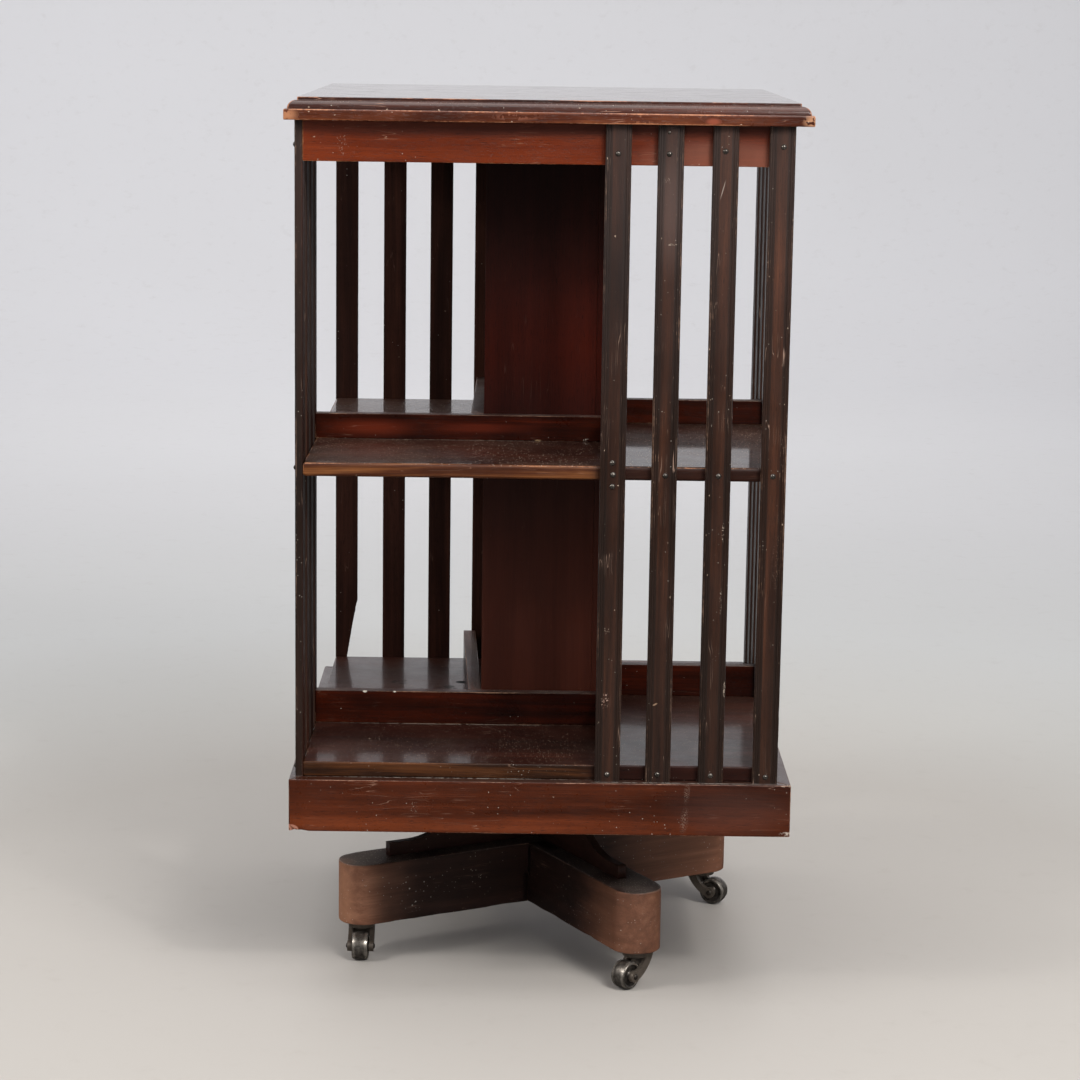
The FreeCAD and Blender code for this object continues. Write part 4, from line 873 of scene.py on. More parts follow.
M_FOOT = wood("foot_hardwood", stain(27, 16, 13), stain(50, 30, 24), stain(74, 46, 36), stain(124, 92, 74),
              rough=(0.38, 0.54), coat=0.1, coat_rough=0.28, wear=1.4, wear_cut=0.52, blotch=0.45, scratch=0.5,
              along=0.1, specks=0.26, dust=0.9, film=0.62, grit=0.7, nicks=0.01, figure=0.7, streak=0.7, specular=0.36,
              dust_color=stain(140, 126, 116), grit_color=stain(196, 186, 176), rub=(stain(128, 84, 62), stain(176, 126, 98)),
              rub_noise=0.7, rub_top=False,
              # the first spot paints the left arm's end paler: partly wear, partly painted light where the left lamp
              # falls on it
              spots=[{"at": (-math.cos(math.radians(FOOT_ANGLE + 90)) * FOOT_REACH, -math.sin(math.radians(FOOT_ANGLE + 90)) * FOOT_REACH, 60),
                      "size": (24, 24, 70), "color": stain(196, 140, 104), "soft": 0.3, "k": 0.32},
                     {"at": (-124, -96, 66), "size": (34, 26, 22), "color": stain(206, 200, 192), "dots": (270, 0.42), "soft": 0.3},
                     {"at": (-70, -68, 80), "size": (46, 26, 22), "color": stain(150, 132, 118), "dots": (250, 0.16), "soft": 0.3}])
M_BEAR = wood("bearer_hardwood", stain(34, 19, 15), stain(62, 34, 25), stain(90, 50, 36), stain(96, 60, 44),
              rough=(0.4, 0.55), coat=0.05, coat_rough=0.3, wear=0.8, wear_cut=0.6, blotch=0.35, scratch=0.2,
              along=0.1, specks=0.1, dust=0.5, figure=0.6, streak=0.6, specular=0.3, dust_color=stain(110, 98, 88))
M_STUD = iron("stud_iron", stain(46, 42, 39), stain(128, 120, 112), rough=(0.14, 0.26), metallic=0.7, rust=0.12)
M_FITTING = iron("fitting_iron", stain(40, 36, 33), stain(88, 82, 76), rough=(0.35, 0.55), metallic=0.9, rust=0.35)
M_CASTER = iron("caster_iron", stain(24, 20, 18), stain(60, 53, 47), rough=(0.3, 0.46), metallic=0.55, rust=0.3,
                wear_and_highlight_at=(0.62, 1.05), polish=stain(118, 108, 98), polish_rough=0.3)
M_WHEEL = iron("wheel_iron", stain(42, 38, 34), stain(112, 104, 97), rough=(0.28, 0.46), metallic=0.72, rust=0.16,
               wear_and_highlight_at=(0.42, 0.92), polish=stain(174, 166, 156), polish_rough=0.25)

# ----------------------------------------------------------------- the boards
_shift = np.random.RandomState(7)


def shift():
    return _shift.uniform(-4000, 4000, 3)


def finish_board(sh, seed, chip=0.5, chip_scale=0.09, reach=2.2, cut=0.3):
    return chips(sh, chip, chip_scale, seed, reach, cut)


def quarter_turn(sh, k):
    return sh.moved(lambda p: turn_z(p, 90.0 * k))


# top board: band, ovolo and step
BAND = 10.0
profile = [(14.0, 0.0), (7.0, 0.0), (3.0, 0.0)] + arc_rows(0.9, 0.9, 0.9, -90, 0, 4)
profile += [(0.0, 3.0), (0.0, 5.4), (0.0, 7.4)] + arc_rows(1.5, BAND - 1.5, 1.5, 0, 90, 5)
profile += [(3.2, BAND + 0.02)] + arc_rows(3.2 + 7.7, BAND + 0.1, 7.7, 0, 90, 14)[0:]
profile += [(11.8, BAND + 7.82), (11.85, BAND + 8.6)] + arc_rows(11.8 + 0.7, BAND + 10.1, 0.7, 0, 90, 3)
profile += [(13.8, BAND + 10.8), (16.2, BAND + 10.8), (21.0, BAND + 10.8)]
profile = [(i, TOP_LOW + z) for i, z in profile]
sh = slab(243.4, profile, step=5.0, corner=1.6)
rimd = 243.4 - np.max(np.abs(sh.p[:, :2]), axis=1)
zz = sh.p[:, 2] - TOP_LOW
# arrises: the band's lower and upper edges, the step's edge and the mitres
d_low = np.hypot(rimd, zz)
d_band = np.hypot(rimd, zz - BAND)
d_step = np.hypot(rimd - 11.8, zz - BAND - 10.8) + 0.15
corner_d = np.abs(np.abs(sh.p[:, 0]) - np.abs(sh.p[:, 1])) / 1.414 + np.where(rimd < 13.0, 0, 30.0)
sh.edge = np.minimum.reduce([d_low, np.where(zz < BAND + 0.01, d_band, 30.0), d_step, corner_d])
sh.grain((0, 1, 2), shift())
n0 = noise(sh.p, 0.03, 5, 2)
n1 = noise(sh.p, 0.16, 6, 2)
bite = np.clip(n1 - 0.15, 0, 1) * np.clip(1 - d_low / 3.0, 0, 1) * 0.9 + np.clip(n1 + n0 - 0.35, 0, 1) * np.clip(1 - d_band / 3.2, 0, 1) * 0.9
inward = np.sign(sh.p[:, :2]) * (np.abs(sh.p[:, :2]) > 215)
sh.p[:, :2] -= inward * bite[:, None]
sh.p[:, 2] -= np.where(zz > BAND + 10.4, (noise(sh.p, 0.012, 9, 2) + 1) * 0.10, 0.0)
rub = np.where(zz < BAND + 0.3, 0.55, 0.0) * np.clip(1.4 - rimd / 2.0, 0, 1) + np.clip(1 - d_band / 2.0, 0, 1) * 0.35
rub = rub - 0.12 + 0.22 * (corner_d < 6.0) * (zz < BAND + 0.3) - 0.2 * sh.p[:, 0] / 243.4
rub = np.where(zz > BAND + 0.3, -0.6, rub)
make("top_board_wood", sh, "case", M_TOP, ["top_board"], rub=rub)

# frieze rails
for k, face in enumerate(FACES):
    sh = block((-HALF, -HALF, TOP_LOW - FRIEZE_TALL), (HALF - FRIEZE_T, -HALF + FRIEZE_T, TOP_LOW), 0.8, 10.0)
    sh.grain((0, 2, 1), shift())
    wave(sh, 0.12, 0.02, 40 + k, 1)
    finish_board(sh, 50 + k, 0.35)
    make("frieze_%s_wood" % face, quarter_turn(sh, k), "case", M_FRIEZE, ["frieze_" + face])

# shelf and bottom board
prof = [(16.0, 0.0), (9.0, 0.0), (5.0, 0.0)] + arc_rows(3.2, 3.2, 3.2, -90, 0, 6) + [(0, 5.4), (0, SHELF_T - 5.4)]
prof += arc_rows(3.2, SHELF_T - 3.2, 3.2, 0, 90, 6) + [(5.0, SHELF_T), (9.0, SHELF_T), (16.0, SHELF_T)]
sh = slab(HALF, [(i, SHELF_LOW + z) for i, z in prof], 9.0, 1.2, hole=(20.0, 34.0))
sh.grain((0, 1, 2), shift())
sh.p[:, 2] -= np.where(sh.p[:, 2] > SHELF_LOW + SHELF_T - 0.01, (noise(sh.p, 0.014, 19, 2) + 1) * 0.10, 0.0)
rim = HALF - np.max(np.abs(sh.p[:, :2]), axis=1)
# a pale line along the top arris of the nosing: partly wear, partly a painted highlight
sh.edge = np.minimum(sh.edge, np.hypot(rim - 0.9, sh.p[:, 2] - SHELF_LOW - SHELF_T + 0.9) + 0.1)
b = np.clip(noise(sh.p, 0.11, 21, 2) - 0.1, 0, 1) * np.clip(1 - rim / 3.0, 0, 1) * 0.6
sh.p[:, :2] -= np.sign(sh.p[:, :2]) * (np.abs(sh.p[:, :2]) > 222) * b[:, None]
make("middle_shelf_wood", sh, "case", M_SHELF, ["middle_shelf"],
     rub=np.where(rim < 2.6, 0.9 - 0.85 * smooth(30, 70, sh.p[:, 0]) * (sh.p[:, 1] < -200), -0.5))

prof = [(16.0, 0.0), (9.0, 0.0), (4.0, 0.0)] + arc_rows(1.6, 1.6, 1.6, -90, 0, 4) + [(0, 4.0), (0, BOARD_T - 4.0)]
prof += arc_rows(1.6, BOARD_T - 1.6, 1.6, 0, 90, 4) + [(4.0, BOARD_T), (9.0, BOARD_T), (16.0, BOARD_T)]
sh = slab(HALF, [(i, BOARD_LOW + z) for i, z in prof], 9.0, 1.2, hole=(17.05, 34.0))
sh.grain((0, 1, 2), shift())
sh.p[:, 2] -= np.where(sh.p[:, 2] > BOARD_LOW + BOARD_T - 0.01, (noise(sh.p, 0.014, 29, 2) + 1) * 0.10, 0.0)
rim = HALF - np.max(np.abs(sh.p[:, :2]), axis=1)
make("bottom_board_wood", sh, "case", M_BOARD, ["bottom_board"], rub=np.where(rim < 1.3, 0.9 - 0.8 * smooth(30, 70, sh.p[:, 0]) * (sh.p[:, 1] < -200), -0.5))

# plinth boards, mitred
for k, face in enumerate(FACES):
    sh = block((-PLINTH_HALF, -PLINTH_HALF, PLINTH_LOW), (PLINTH_HALF, -PLINTH_HALF + PLINTH_T, BOARD_LOW), 1.1, 9.0)
    sh.grain((0, 2, 1), shift())
    wave(sh, 0.15, 0.02, 60 + k, 1)
    finish_board(sh, 70 + k, 0.7, 0.10, 2.6, 0.25)
    if k == 0:
        # the left lower corner is broken, and a few places along the lower edge
        for cx, cz, rad, deep in ((-PLINTH_HALF, PLINTH_LOW, 7.0, 3.4), (-PLINTH_HALF + 9, PLINTH_LOW, 6.0, 1.6),
                                  (128.0, PLINTH_LOW, 4.0, 0.9), (-60.0, PLINTH_LOW, 3.5, 0.7)):
            d = np.hypot(sh.p[:, 0] - cx, sh.p[:, 2] - cz)
            kk = smooth(rad, 0.0, d) * np.clip(1 - (sh.p[:, 1] + PLINTH_HALF) / 14.0, 0, 1)
            sh.p[:, 2] += kk * deep * (0.8 + 0.4 * noise(sh.p, 0.5, 3))
            if cx < -230:
                sh.p[:, 0] += kk * deep * 0.7
            sh.p[:, 1] += kk * deep * 0.35

    def mitre(p):
        q = p.copy()
        q[:, 0] = p[:, 0] * (-p[:, 1]) / PLINTH_HALF
        return q

    sh.moved(mitre)
    make("plinth_%s_wood" % face, quarter_turn(sh, k), "case", M_PLINTH, ["plinth_" + face])


# slats
def slat_section():
    """Closed outline of half the section's detail, outer face at -Y, x from
    the slat's middle, y from the slat's back; each point with its distance
    to an arris."""
    hw, t = SLAT_W / 2, -SLAT_T
    right = [(5.5, t), (6.1, t + 0.03), (6.7, t + 0.22), (7.3, t + 1.25), (7.75, t + 0.72), (8.3, t + 0.36),
             (8.9, t + 0.3), (9.35, t + 0.6), (9.7, t + 1.3), (10.1, t + 0.55), (10.6, t + 0.5), (11.1, t + 0.72),
             (11.6, t + 1.25), (11.9, t + 1.75), (12.0, t + 2.3), (12.0, t + 4.0), (12.0, -1.6), (12.0, -0.6),
             (11.8, -0.15), (11.4, 0.0), (9.6, 0.0), (6.0, 0.0), (2.0, 0.0)]
    pts = [(1.6, t), (3.6, t), (5.0, t)] + right
    full = pts + [(-x, y) for x, y in reversed(pts)]
    arr, zone = [], []
    for x, y in full:
        ax = abs(x)
        # the crests of the mouldings catch the wear
        d = min(abs(ax - c) for c in (5.8, 8.6, 10.7, 11.85)) + (0.0 if y < t + 2.0 else min(3.0, y - t - 2.0))
        arr.append(d if y < -0.1 else 6.0)
        zone.append(0.0 if ax < 5.3 and y < -3.0 else (0.5 if y < -1.0 else 1.0))
    return full, arr, zone


def slat(k, n, split=False):
    sec, arr, zone = slat_section()
    z0, z1 = BOARD_LOW, TOP_LOW
    zs = np.concatenate([[z0, z0 + 0.5, z0 + 2.0, z0 + 5.0], np.linspace(z0 + 9, z1 - 9, 100), [z1 - 5, z1 - 2, z1 - 0.5, z1]])
    if split:
        zs = np.unique(np.concatenate([zs, np.linspace(z0 + 1, z0 + 86, 70)]))
    c = SLATS[n - 1]
    m = len(sec)
    P = np.zeros((len(zs), m, 3))
    for i, z in enumerate(zs):
        P[i, :, 0] = [x for x, _ in sec]
        P[i, :, 1] = [y for _, y in sec]
        P[i, :, 2] = z
    p = P.reshape(-1, 3)
    edge = np.tile(np.array(arr, float), len(zs))
    zone = np.tile(np.array(zone, float), len(zs))
    # hand-worn: the moulded arrises are rubbed and knocked here and there
    seed = 100 + 10 * k + n
    q = p + np.array([c * 3.1, k * 700.0, 0.0])
    rub = np.clip(noise(q * np.array([1, 1, 0.35]), 0.09, seed, 2) * 0.5 + 0.5, 0, 1)
    outer = np.clip(1 - edge / 1.6, 0, 1) * (p[:, 1] < -3.0)
    p[:, 1] += outer * rub * 0.28
    knock = np.clip(noise(q, 0.16, seed + 5, 2) - 0.42, 0, 1) * np.clip(1 - edge / 2.2, 0, 1)
    p[:, 0] -= np.sign(p[:, 0]) * knock * 1.5
    p[:, 1] += knock * 1.2 * (p[:, 1] < -3.0)
    if split:
        zc = p[:, 2] - z0
        cut = np.interp(zc, [-1, 0, 13.8, 47, 74, 80], [0.9, 0.9, -0.4, -5.8, -10.8, -12.6])
        cut = cut + 0.5 * noise(p * np.array([0, 0.4, 1]), 0.35, 8, 2) * (zc < 78)
        sel = (p[:, 0] < cut) & (zc < 82)
        edge = np.where(sel & (zc < 79), 0.2, edge)
        p[:, 0] = np.where(sel, cut + (p[:, 0] + 12.0) * 0.03, p[:, 0])
    p[:, 0] += c
    p[:, 1] -= HALF
    idx = np.arange(len(zs) * m).reshape(len(zs), m)
    nxt = np.roll(idx, -1, axis=1)
    faces = np.stack([idx[:-1], idx[1:], nxt[1:], nxt[:-1]], -1).reshape(-1, 4).tolist()
    faces = [f[::-1] for f in faces]
    faces.append(tuple(idx[0][::-1])[::-1])
    faces.append(tuple(idx[-1])[::-1])
    sh = Shell(p, faces, edge)
    sh.grain((2, 0, 1), shift())
    return quarter_turn(sh, k), zone


for k, face in enumerate(FACES):
    for n in range(1, 5):
        sh, zone = slat(k, n, (k, n) == (2, 4))
        inner = (M_SLAT_IN, lambda f: len(f) < 5 and min(zone[i] for i in f) > 0.8)
        make("slat_%s_%d_wood" % (face, n), sh, "case", M_SLAT, ["slat_%s_%d" % (face, n)], rub=zone, second=inner)

# core panels, an upper and a lower length on each side
for k, face in enumerate(FACES):
    sh = None
    for low, high in ((BOARD_LOW + BOARD_T, SHELF_LOW), (SHELF_LOW + SHELF_T, TOP_LOW)):
        one = block((-CORE, -CORE, low), (CORE - CORE_T, -CORE + CORE_T, high), 0.5, 14.0)
        one.grain((2, 0, 1), shift())
        wave(one, 0.2, 0.012, 80 + k, 1)
        sh = one if sh is None else sh.join(one)
    rub = np.where(sh.p[:, 2] < SHELF_LOW + 1.0, 0.75, -0.5)
    make("core_panel_%s_wood" % face, quarter_turn(sh, k), "case", M_CORE, ["core_panel_" + face], rub=rub)

# book stops
for tier, low, tall in (("upper", SHELF_LOW + SHELF_T, STOP_UP), ("lower", BOARD_LOW + BOARD_T, STOP_DOWN)):
    for k, face in enumerate(FACES):
        if (tier, k) == ("lower", 3):
            sh = block((-(HALF + CORE) + 7.0, 0, low), (0, STOP_T, low + tall), 0.8, 10.0)
        else:
            sh = block((-HALF, -CORE - STOP_T, low), (CORE, -CORE, low + tall), 0.8, 10.0)
        sh.grain((0, 2, 1), shift())
        finish_board(sh, 90 + k, 0.3)
        if (tier, k) == ("lower", 3):
            sh.moved(lambda p: turn_z(p, 270.0 + LOOSE) + np.array([-CORE - STOP_T, -CORE, 0.0]))
        else:
            quarter_turn(sh, k)
        make("book_stop_%s_%s_wood" % (tier, face), sh, "case", M_STOP, ["book_stop_%s_%s" % (tier, face)])

# ------------------------------------------------------------------ the studs
heads = {0: [818.5, 818.8, 821.8, 826.5], 1: [820.0, 824.0, 819.0, 822.5],
         2: [822.0, 819.5, 823.5, 820.5], 3: [821.0, 818.0, 824.5, 822.0]}
drift = {0: [-0.4, -1.6, -0.6, 0.8], 1: [0.6, -0.8, 0.3, -0.5], 2: [-0.7, 0.9, -0.2, 0.5], 3: [0.4, -0.6, 1.0, -0.3]}
z_shelf, z_board = SHELF_LOW + SHELF_T / 2, BOARD_LOW + BOARD_T / 2
spots = []
for k in range(4):
    for n in range(4):
        c, dx = SLATS[n], drift[k][n]
        spots += [(c + dx, heads[k][n], k, 1.0, 17.0), (c - 0.6 * dx, z_shelf + 0.3 * dx, k, 1.0, 17.0),
                  (c + 0.4 * dx, z_board - 0.5 * dx, k, 1.0, 17.0)]
spots += [(SLATS[0] - 0.5, z_shelf + 11.2, 0, 1.0, 7.0), (SLATS[0] - 0.2, z_shelf - 11.2, 0, 1.0, 7.0),
          (SLATS[1] - 2.2, 838.4, 0, 0.55, 9.0)]
rs = np.random.RandomState(11)
sh = None
for x, z, k, size, deep in spots:
    R, T = 2.7 * size, 1.9 * size
    big = (R * R + T * T) / (2 * T)
    half = math.asin(R / big)
    dome = [(big * math.sin(half * (1 - i / 6.0)), big * math.cos(half * (1 - i / 6.0)) - (big - T)) for i in range(6)] + [(0, T)]
    path = [(0, -deep), (0.5 * size, -deep + 1.5), (1.1 * size, -deep + 4.0), (1.1 * size, -0.02), (R * 0.93, -0.01), (R * 0.99, 0.12)] + dome[1:]
    one = lathe(path, 20, closed=False)
    # hammered: a little flat and off centre
    a, tilt = rs.uniform(0, 6.28), rs.uniform(0.0, 0.05)
    top = one.p[:, 2] > 0.3 * size
    one.p[:, 2] -= np.where(top, tilt * (one.p[:, 0] * math.cos(a) + one.p[:, 1] * math.sin(a) + R), 0.0)
    one.p[:, 2] = np.where(one.p[:, 2] > T * 0.93, T * 0.93 + (one.p[:, 2] - T * 0.93) * 0.3, one.p[:, 2])
    q = one.p.copy()
    q[:, 0], q[:, 1], q[:, 2] = one.p[:, 0] + x, -HALF - SLAT_T - one.p[:, 2], one.p[:, 1] + z
    one.p = q
    one.wood = q.copy()
    one = quarter_turn(one, k)
    sh = one if sh is None else sh.join(one)
make("slat_stud_heads", sh, "case", M_STUD, ["slat_studs"])

# ------------------------------------------------------------------- the foot


def with_cut(sh, cutters, body, material, name, replaces, rub=None):
    """The board with plain cuts taken out of it, kept as one closed mesh."""
    obj = make(name, sh, body, material, replaces, rub=rub)
    for lo, hi, angle in cutters:
        c = block(lo, hi, 0.01, 500.0, ())
        c.moved(lambda p: turn_z(p, angle))
        me = bpy.data.meshes.new("cutter")
        me.from_pydata((c.p * MM).tolist(), [], c.f)
        co = bpy.data.objects.new("cutter", me)
        SC.collection.objects.link(co)
        m = obj.modifiers.new("cut", "BOOLEAN")
        m.operation, m.object, m.solver = "DIFFERENCE", co, "EXACT"
        bpy.context.view_layer.update()
        dg = bpy.context.evaluated_depsgraph_get()
        new = bpy.data.meshes.new_from_object(obj.evaluated_get(dg), depsgraph=dg)
        obj.modifiers.clear()
        old = obj.data
        obj.data = new
        new.name = name
        bpy.data.meshes.remove(old)
        bpy.data.objects.remove(co)
        bpy.data.meshes.remove(me)
    return obj


def foot_outline(extra=()):
    hw = FOOT_W / 2
    c = FOOT_REACH - hw * 0.9
    # the end is the arc through (c, -hw), (reach, 0) and (c, hw)
    b = FOOT_REACH - c
    R = (hw * hw + b * b) / (2 * b)
    half = math.asin(min(1.0, hw / R)) if b < R else math.pi - math.asin(hw / R)
    arc = [(FOOT_REACH - R + R * math.cos(a), R * math.sin(a)) for a in np.linspace(-half, half, 25)]
    side = [(x, -hw) for x in np.linspace(-c, c, 60)][1:-1]
    back = [(x, hw) for x in sorted(list(np.linspace(c, -c, 60)[1:-1]) + list(extra), reverse=True)]
    return side + arc + back + [(-x, -y) for x, y in arc]


for name, turn, top_notch in (("foot_bar_long", FOOT_ANGLE, True), ("foot_bar_cross", FOOT_ANGLE + 90.0, False)):
    sh = prism(foot_outline(() if top_notch else (-148.9, -147.9, -146.4, -144.6)), FOOT_LOW, FOOT_LOW + FOOT_TALL, 1.3, 8.0, (2.0, 5.0))
    sh.grain((0, 2, 1), shift())
    # worn and knocked ends
    p = sh.p
    n = noise(p, 0.05, 301 if top_notch else 302, 3)
    e = np.clip(1 - sh.edge / 5.0, 0, 1)
    knock = np.clip(n - 0.05, 0, 1) * e * 1.6
    mid = FOOT_LOW + FOOT_TALL / 2
    p[:, 2] -= np.sign(p[:, 2] - mid) * knock
    p[:, 1] -= np.sign(p[:, 1]) * knock * 0.6 * (np.abs(p[:, 1]) > 12)
    p[:, 0] -= np.sign(p[:, 0]) * knock * 0.5 * (np.abs(p[:, 0]) > FOOT_REACH - 30)
    if not top_notch:
        # a splinter has gone from the left arm's lower edge; the arm points to -x of this bar
        k = smooth(-104.0, -144.6, p[:, 0]) * smooth(-149.2, -147.6, p[:, 0])
        k = k * np.clip(1 - (p[:, 2] - FOOT_LOW) / 7.0, 0, 1) * (p[:, 1] > 0)
        p[:, 2] += k * 3.4
    hw = FOOT_W / 2
    cut = ((-hw, -hw - 2, mid), (hw, hw + 2, mid + 60), 0.0) if top_notch else ((-hw, -hw - 2, mid - 60), (hw, hw + 2, mid), 0.0)
    sh.p = p
    # the arms are paler towards their outer ends, partly wear and partly painted light, and darker towards the middle
    # as painted shade under the plinth; the front arm is paler over more of its length than the left one
    out = p[:, 0]
    if top_notch:
        rub = np.where(out > 0, smooth(50.0, FOOT_REACH - 10, out), smooth(150.0, FOOT_REACH - 8, -out)) * 0.78
    else:
        left = 0.62 * smooth(FOOT_REACH - 150, FOOT_REACH - 14, -out) + 0.6 * smooth(FOOT_REACH - 42, FOOT_REACH - 2, -out)
        rub = np.where(out > 0, smooth(-10.0, FOOT_REACH - 70, out) * 0.92, left)
    rub = rub - 0.12
    sh.moved(lambda q: turn_z(q, turn))
    lo, hi, _ = cut
    with_cut(sh, [(lo, hi, turn)], "base", M_FOOT, name + "_wood", [name], rub)


def bearer_outline():
    inner = BEAR_FLAT - BEAR_HOLLOW
    cz = BEAR_NOSE + BEAR_HOLLOW
    curve = [(BEAR_FLAT - BEAR_HOLLOW * math.sin(a), cz - BEAR_HOLLOW * math.cos(a)) for a in np.linspace(0, math.pi / 2, 18)]
    right = resample([(0.0, 0.0), (BEAR_REACH, 0.0), (BEAR_REACH, BEAR_NOSE), curve[0]], 6.0, False)[:-1]
    right += curve + resample([(inner, cz), (inner, BEAR_TALL), (0.0, BEAR_TALL)], 6.0, False)[1:]
    left = [(-x, z) for x, z in reversed(right[1:-1])]
    return right + left


sh = None
for turn, top_notch in ((FOOT_ANGLE, True), (FOOT_ANGLE + 90.0, False)):
    one = prism(bearer_outline(), -BEAR_T / 2, BEAR_T / 2, 0.5, 3.0, (1.5, 3.0))
    one.grain((0, 1, 2), shift())
    knock = np.clip(noise(one.p, 0.09, 330, 2) - 0.1, 0, 1) * np.clip(1 - one.edge / 2.0, 0, 1)
    one.p[:, 2] -= np.sign(one.p[:, 2]) * knock * 0.6

    def stand(p):
        q = np.zeros_like(p)
        q[:, 0], q[:, 1], q[:, 2] = p[:, 0], -p[:, 2], p[:, 1] + FOOT_LOW + FOOT_TALL
        return q

    one.moved(stand)
    one.turn, one.notch = turn, top_notch
    low = FOOT_LOW + FOOT_TALL
    ht = BEAR_T / 2
    box = ((-ht, -30, low + BEAR_TALL / 2), (ht, 30, low + BEAR_TALL + 9)) if top_notch else ((-ht, -30, low - 9), (ht, 30, low + BEAR_TALL / 2))
    one.moved(lambda p: turn_z(p, turn))
    tag = "long" if top_notch else "cross"
    obj = with_cut(one, [(box[0], box[1], turn)], "base", M_BEAR, "bearer_%s_wood" % tag, ["bearers"])

# ------------------------------------------------------------------ casters


def caster_place(p, ring_angle, trail_angle):
    a = math.radians(FOOT_ANGLE + ring_angle)
    return turn_z(p, trail_angle) + np.array([RING * math.cos(a), RING * math.sin(a), 0.0])


import bmesh


def from_cad(name, node, body, material, width=0.6, segments=3, over=28.0, rub=1.0):
    """The construction's own shape with its arrises rounded and smoothed."""
    bm = bmesh.new()
    bm.from_mesh(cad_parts[node].data)
    bmesh.ops.remove_doubles(bm, verts=bm.verts, dist=2e-6)
    bmesh.ops.dissolve_limit(bm, angle_limit=math.radians(1.5), verts=bm.verts, edges=bm.edges)
    bm.normal_update()
    edges = [e for e in bm.edges if len(e.link_faces) == 2 and e.calc_face_angle(0.0) > math.radians(over)]
    layer = bm.verts.layers.float.new("arris")
    r = bmesh.ops.bevel(bm, geom=edges, offset=width * MM, offset_type="OFFSET", segments=segments, profile=0.5,
                        affect="EDGES", clamp_overlap=True)
    for f in r["faces"]:
        for v in f.verts:
            v[layer] = rub
    big = [f for f in bm.faces if len(f.verts) > 4]
    bmesh.ops.triangulate(bm, faces=big)
    mesh = bpy.data.meshes.new(name)
    bm.to_mesh(mesh)
    bm.free()
    mesh.polygons.foreach_set("use_smooth", [True] * len(mesh.polygons))
    mesh.materials.append(material)
    obj = bpy.data.objects.new(name, mesh)
    SC.collection.objects.link(obj)
    w = obj.modifiers.new("flat_faces", "WEIGHTED_NORMAL")
    w.keep_sharp = True
    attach(obj, body)
    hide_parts(node)
    return obj


def wheel_shell():
    w = WHEEL_W / 2
    half = [(2.55, w), (4.2, w), (4.75, w - 0.12), (5.0, w - 0.45), (5.5, w - 1.45), (6.0, w - 1.85), (6.8, w - 1.95),
            (8.0, w - 2.05), (9.1, w - 2.1), (9.7, w - 2.05), (10.2, w - 1.6), (10.6, w - 0.9), (11.0, w - 0.4),
            (11.5, w - 0.12), (12.0, w - 0.02), (12.5, w - 0.16), (12.95, w - 0.45), (13.25, w - 0.85), (13.42, w - 1.4)]
    crown = [(13.42 + 0.88 * (1 - (y / (w - 1.4)) ** 2), y) for y in np.linspace(w - 1.4, -(w - 1.4), 17)][1:-1]
    path = half + crown + [(r, -y) for r, y in reversed(half)]
    sh = lathe(path, 64, closed=True)
    r = np.hypot(sh.p[:, 0], sh.p[:, 1])
    a = np.arctan2(sh.p[:, 1], sh.p[:, 0])
    y = sh.p[:, 2]
    # the tread is rubbed bright by rolling; the brighter bands near the rims are painted highlights
    sh.edge = np.where(r > 12.3, 0.55 + 0.3 * np.exp(-((np.abs(y) - 6.2) / 1.2) ** 2), np.where((r > 10.5) & (r <= 12.3), 0.6, 0.15)) * 1000.0
    return sh, r, a, y


for i, (face, ring_a, trail_a) in enumerate(CASTERS):
    from_cad("caster_fork_%s_iron" % face, "caster_fork_" + face, "caster_" + face, M_CASTER, 0.55)
    sh, r, a, y = wheel_shell()
    # a worn tread, a little uneven
    q = np.stack([np.cos(a) * 3, np.sin(a) * 3, y * 0.5], 1)
    dent = (noise(q, 0.9, 400 + i, 2) * 0.5 + 0.5) * np.clip((r - 12.3) / 1.0, 0, 1) * 0.12
    k = (r - dent) / r
    sh.p[:, 0] *= k
    sh.p[:, 1] *= k
    p = sh.p
    sh.p = np.stack([p[:, 0] + TRAIL, p[:, 2], p[:, 1] + WHEEL_R], 1)
    sh.f = [f[::-1] for f in sh.f]
    sh.wood = sh.p.copy()
    sh.moved(lambda p: caster_place(p, ring_a, trail_a))
    make("caster_wheel_%s_iron" % face, sh, "wheel_" + face, M_WHEEL, ["caster_wheel_" + face])
    h = FORK_W / 2
    dome = [(3.0 * math.cos(t), h + 1.6 * math.sin(t)) for t in np.linspace(0, math.pi / 2, 8)]
    half = [(2.5, 0.0), (2.5, h - 0.05), (2.9, h - 0.02)] + dome[:-1] + [(0.0, h + 1.6)]
    path = [(r_, -y_) for r_, y_ in reversed(half[1:])] + half
    sh = lathe(path, 28, closed=False)
    p = sh.p
    sh.p = np.stack([p[:, 0] + TRAIL, p[:, 2], p[:, 1] + WHEEL_R], 1)
    sh.f = [f[::-1] for f in sh.f]
    sh.edge[:] = 700.0
    sh.wood = sh.p.copy()
    sh.moved(lambda p: caster_place(p, ring_a, trail_a))
    make("caster_axle_%s_iron" % face, sh, "caster_" + face, M_CASTER, ["caster_axle_" + face], sharp=50)

# the hidden fittings keep the construction's shape
for node, mat in (("pivot_post", M_FITTING), ("pivot_cup", M_FITTING), ("guide_collar", M_FITTING),
                  ("base_screws", M_FITTING), ("caster_stems", M_CASTER)):
    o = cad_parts[node]
    if not o.material_slots:
        o.data.materials.append(mat)
    for s in o.material_slots:
        s.material = mat

# ------------------------------------------------------------- stage and light


def stage_mesh(name, pts, faces, material):
    me = bpy.data.meshes.new(name)
    me.from_pydata(pts, [], faces)
    me.polygons.foreach_set("use_smooth", [True] * len(me.polygons))
    me.materials.append(material)
    o = bpy.data.objects.new(name, me)
    SC.collection.objects.link(o)
    return o


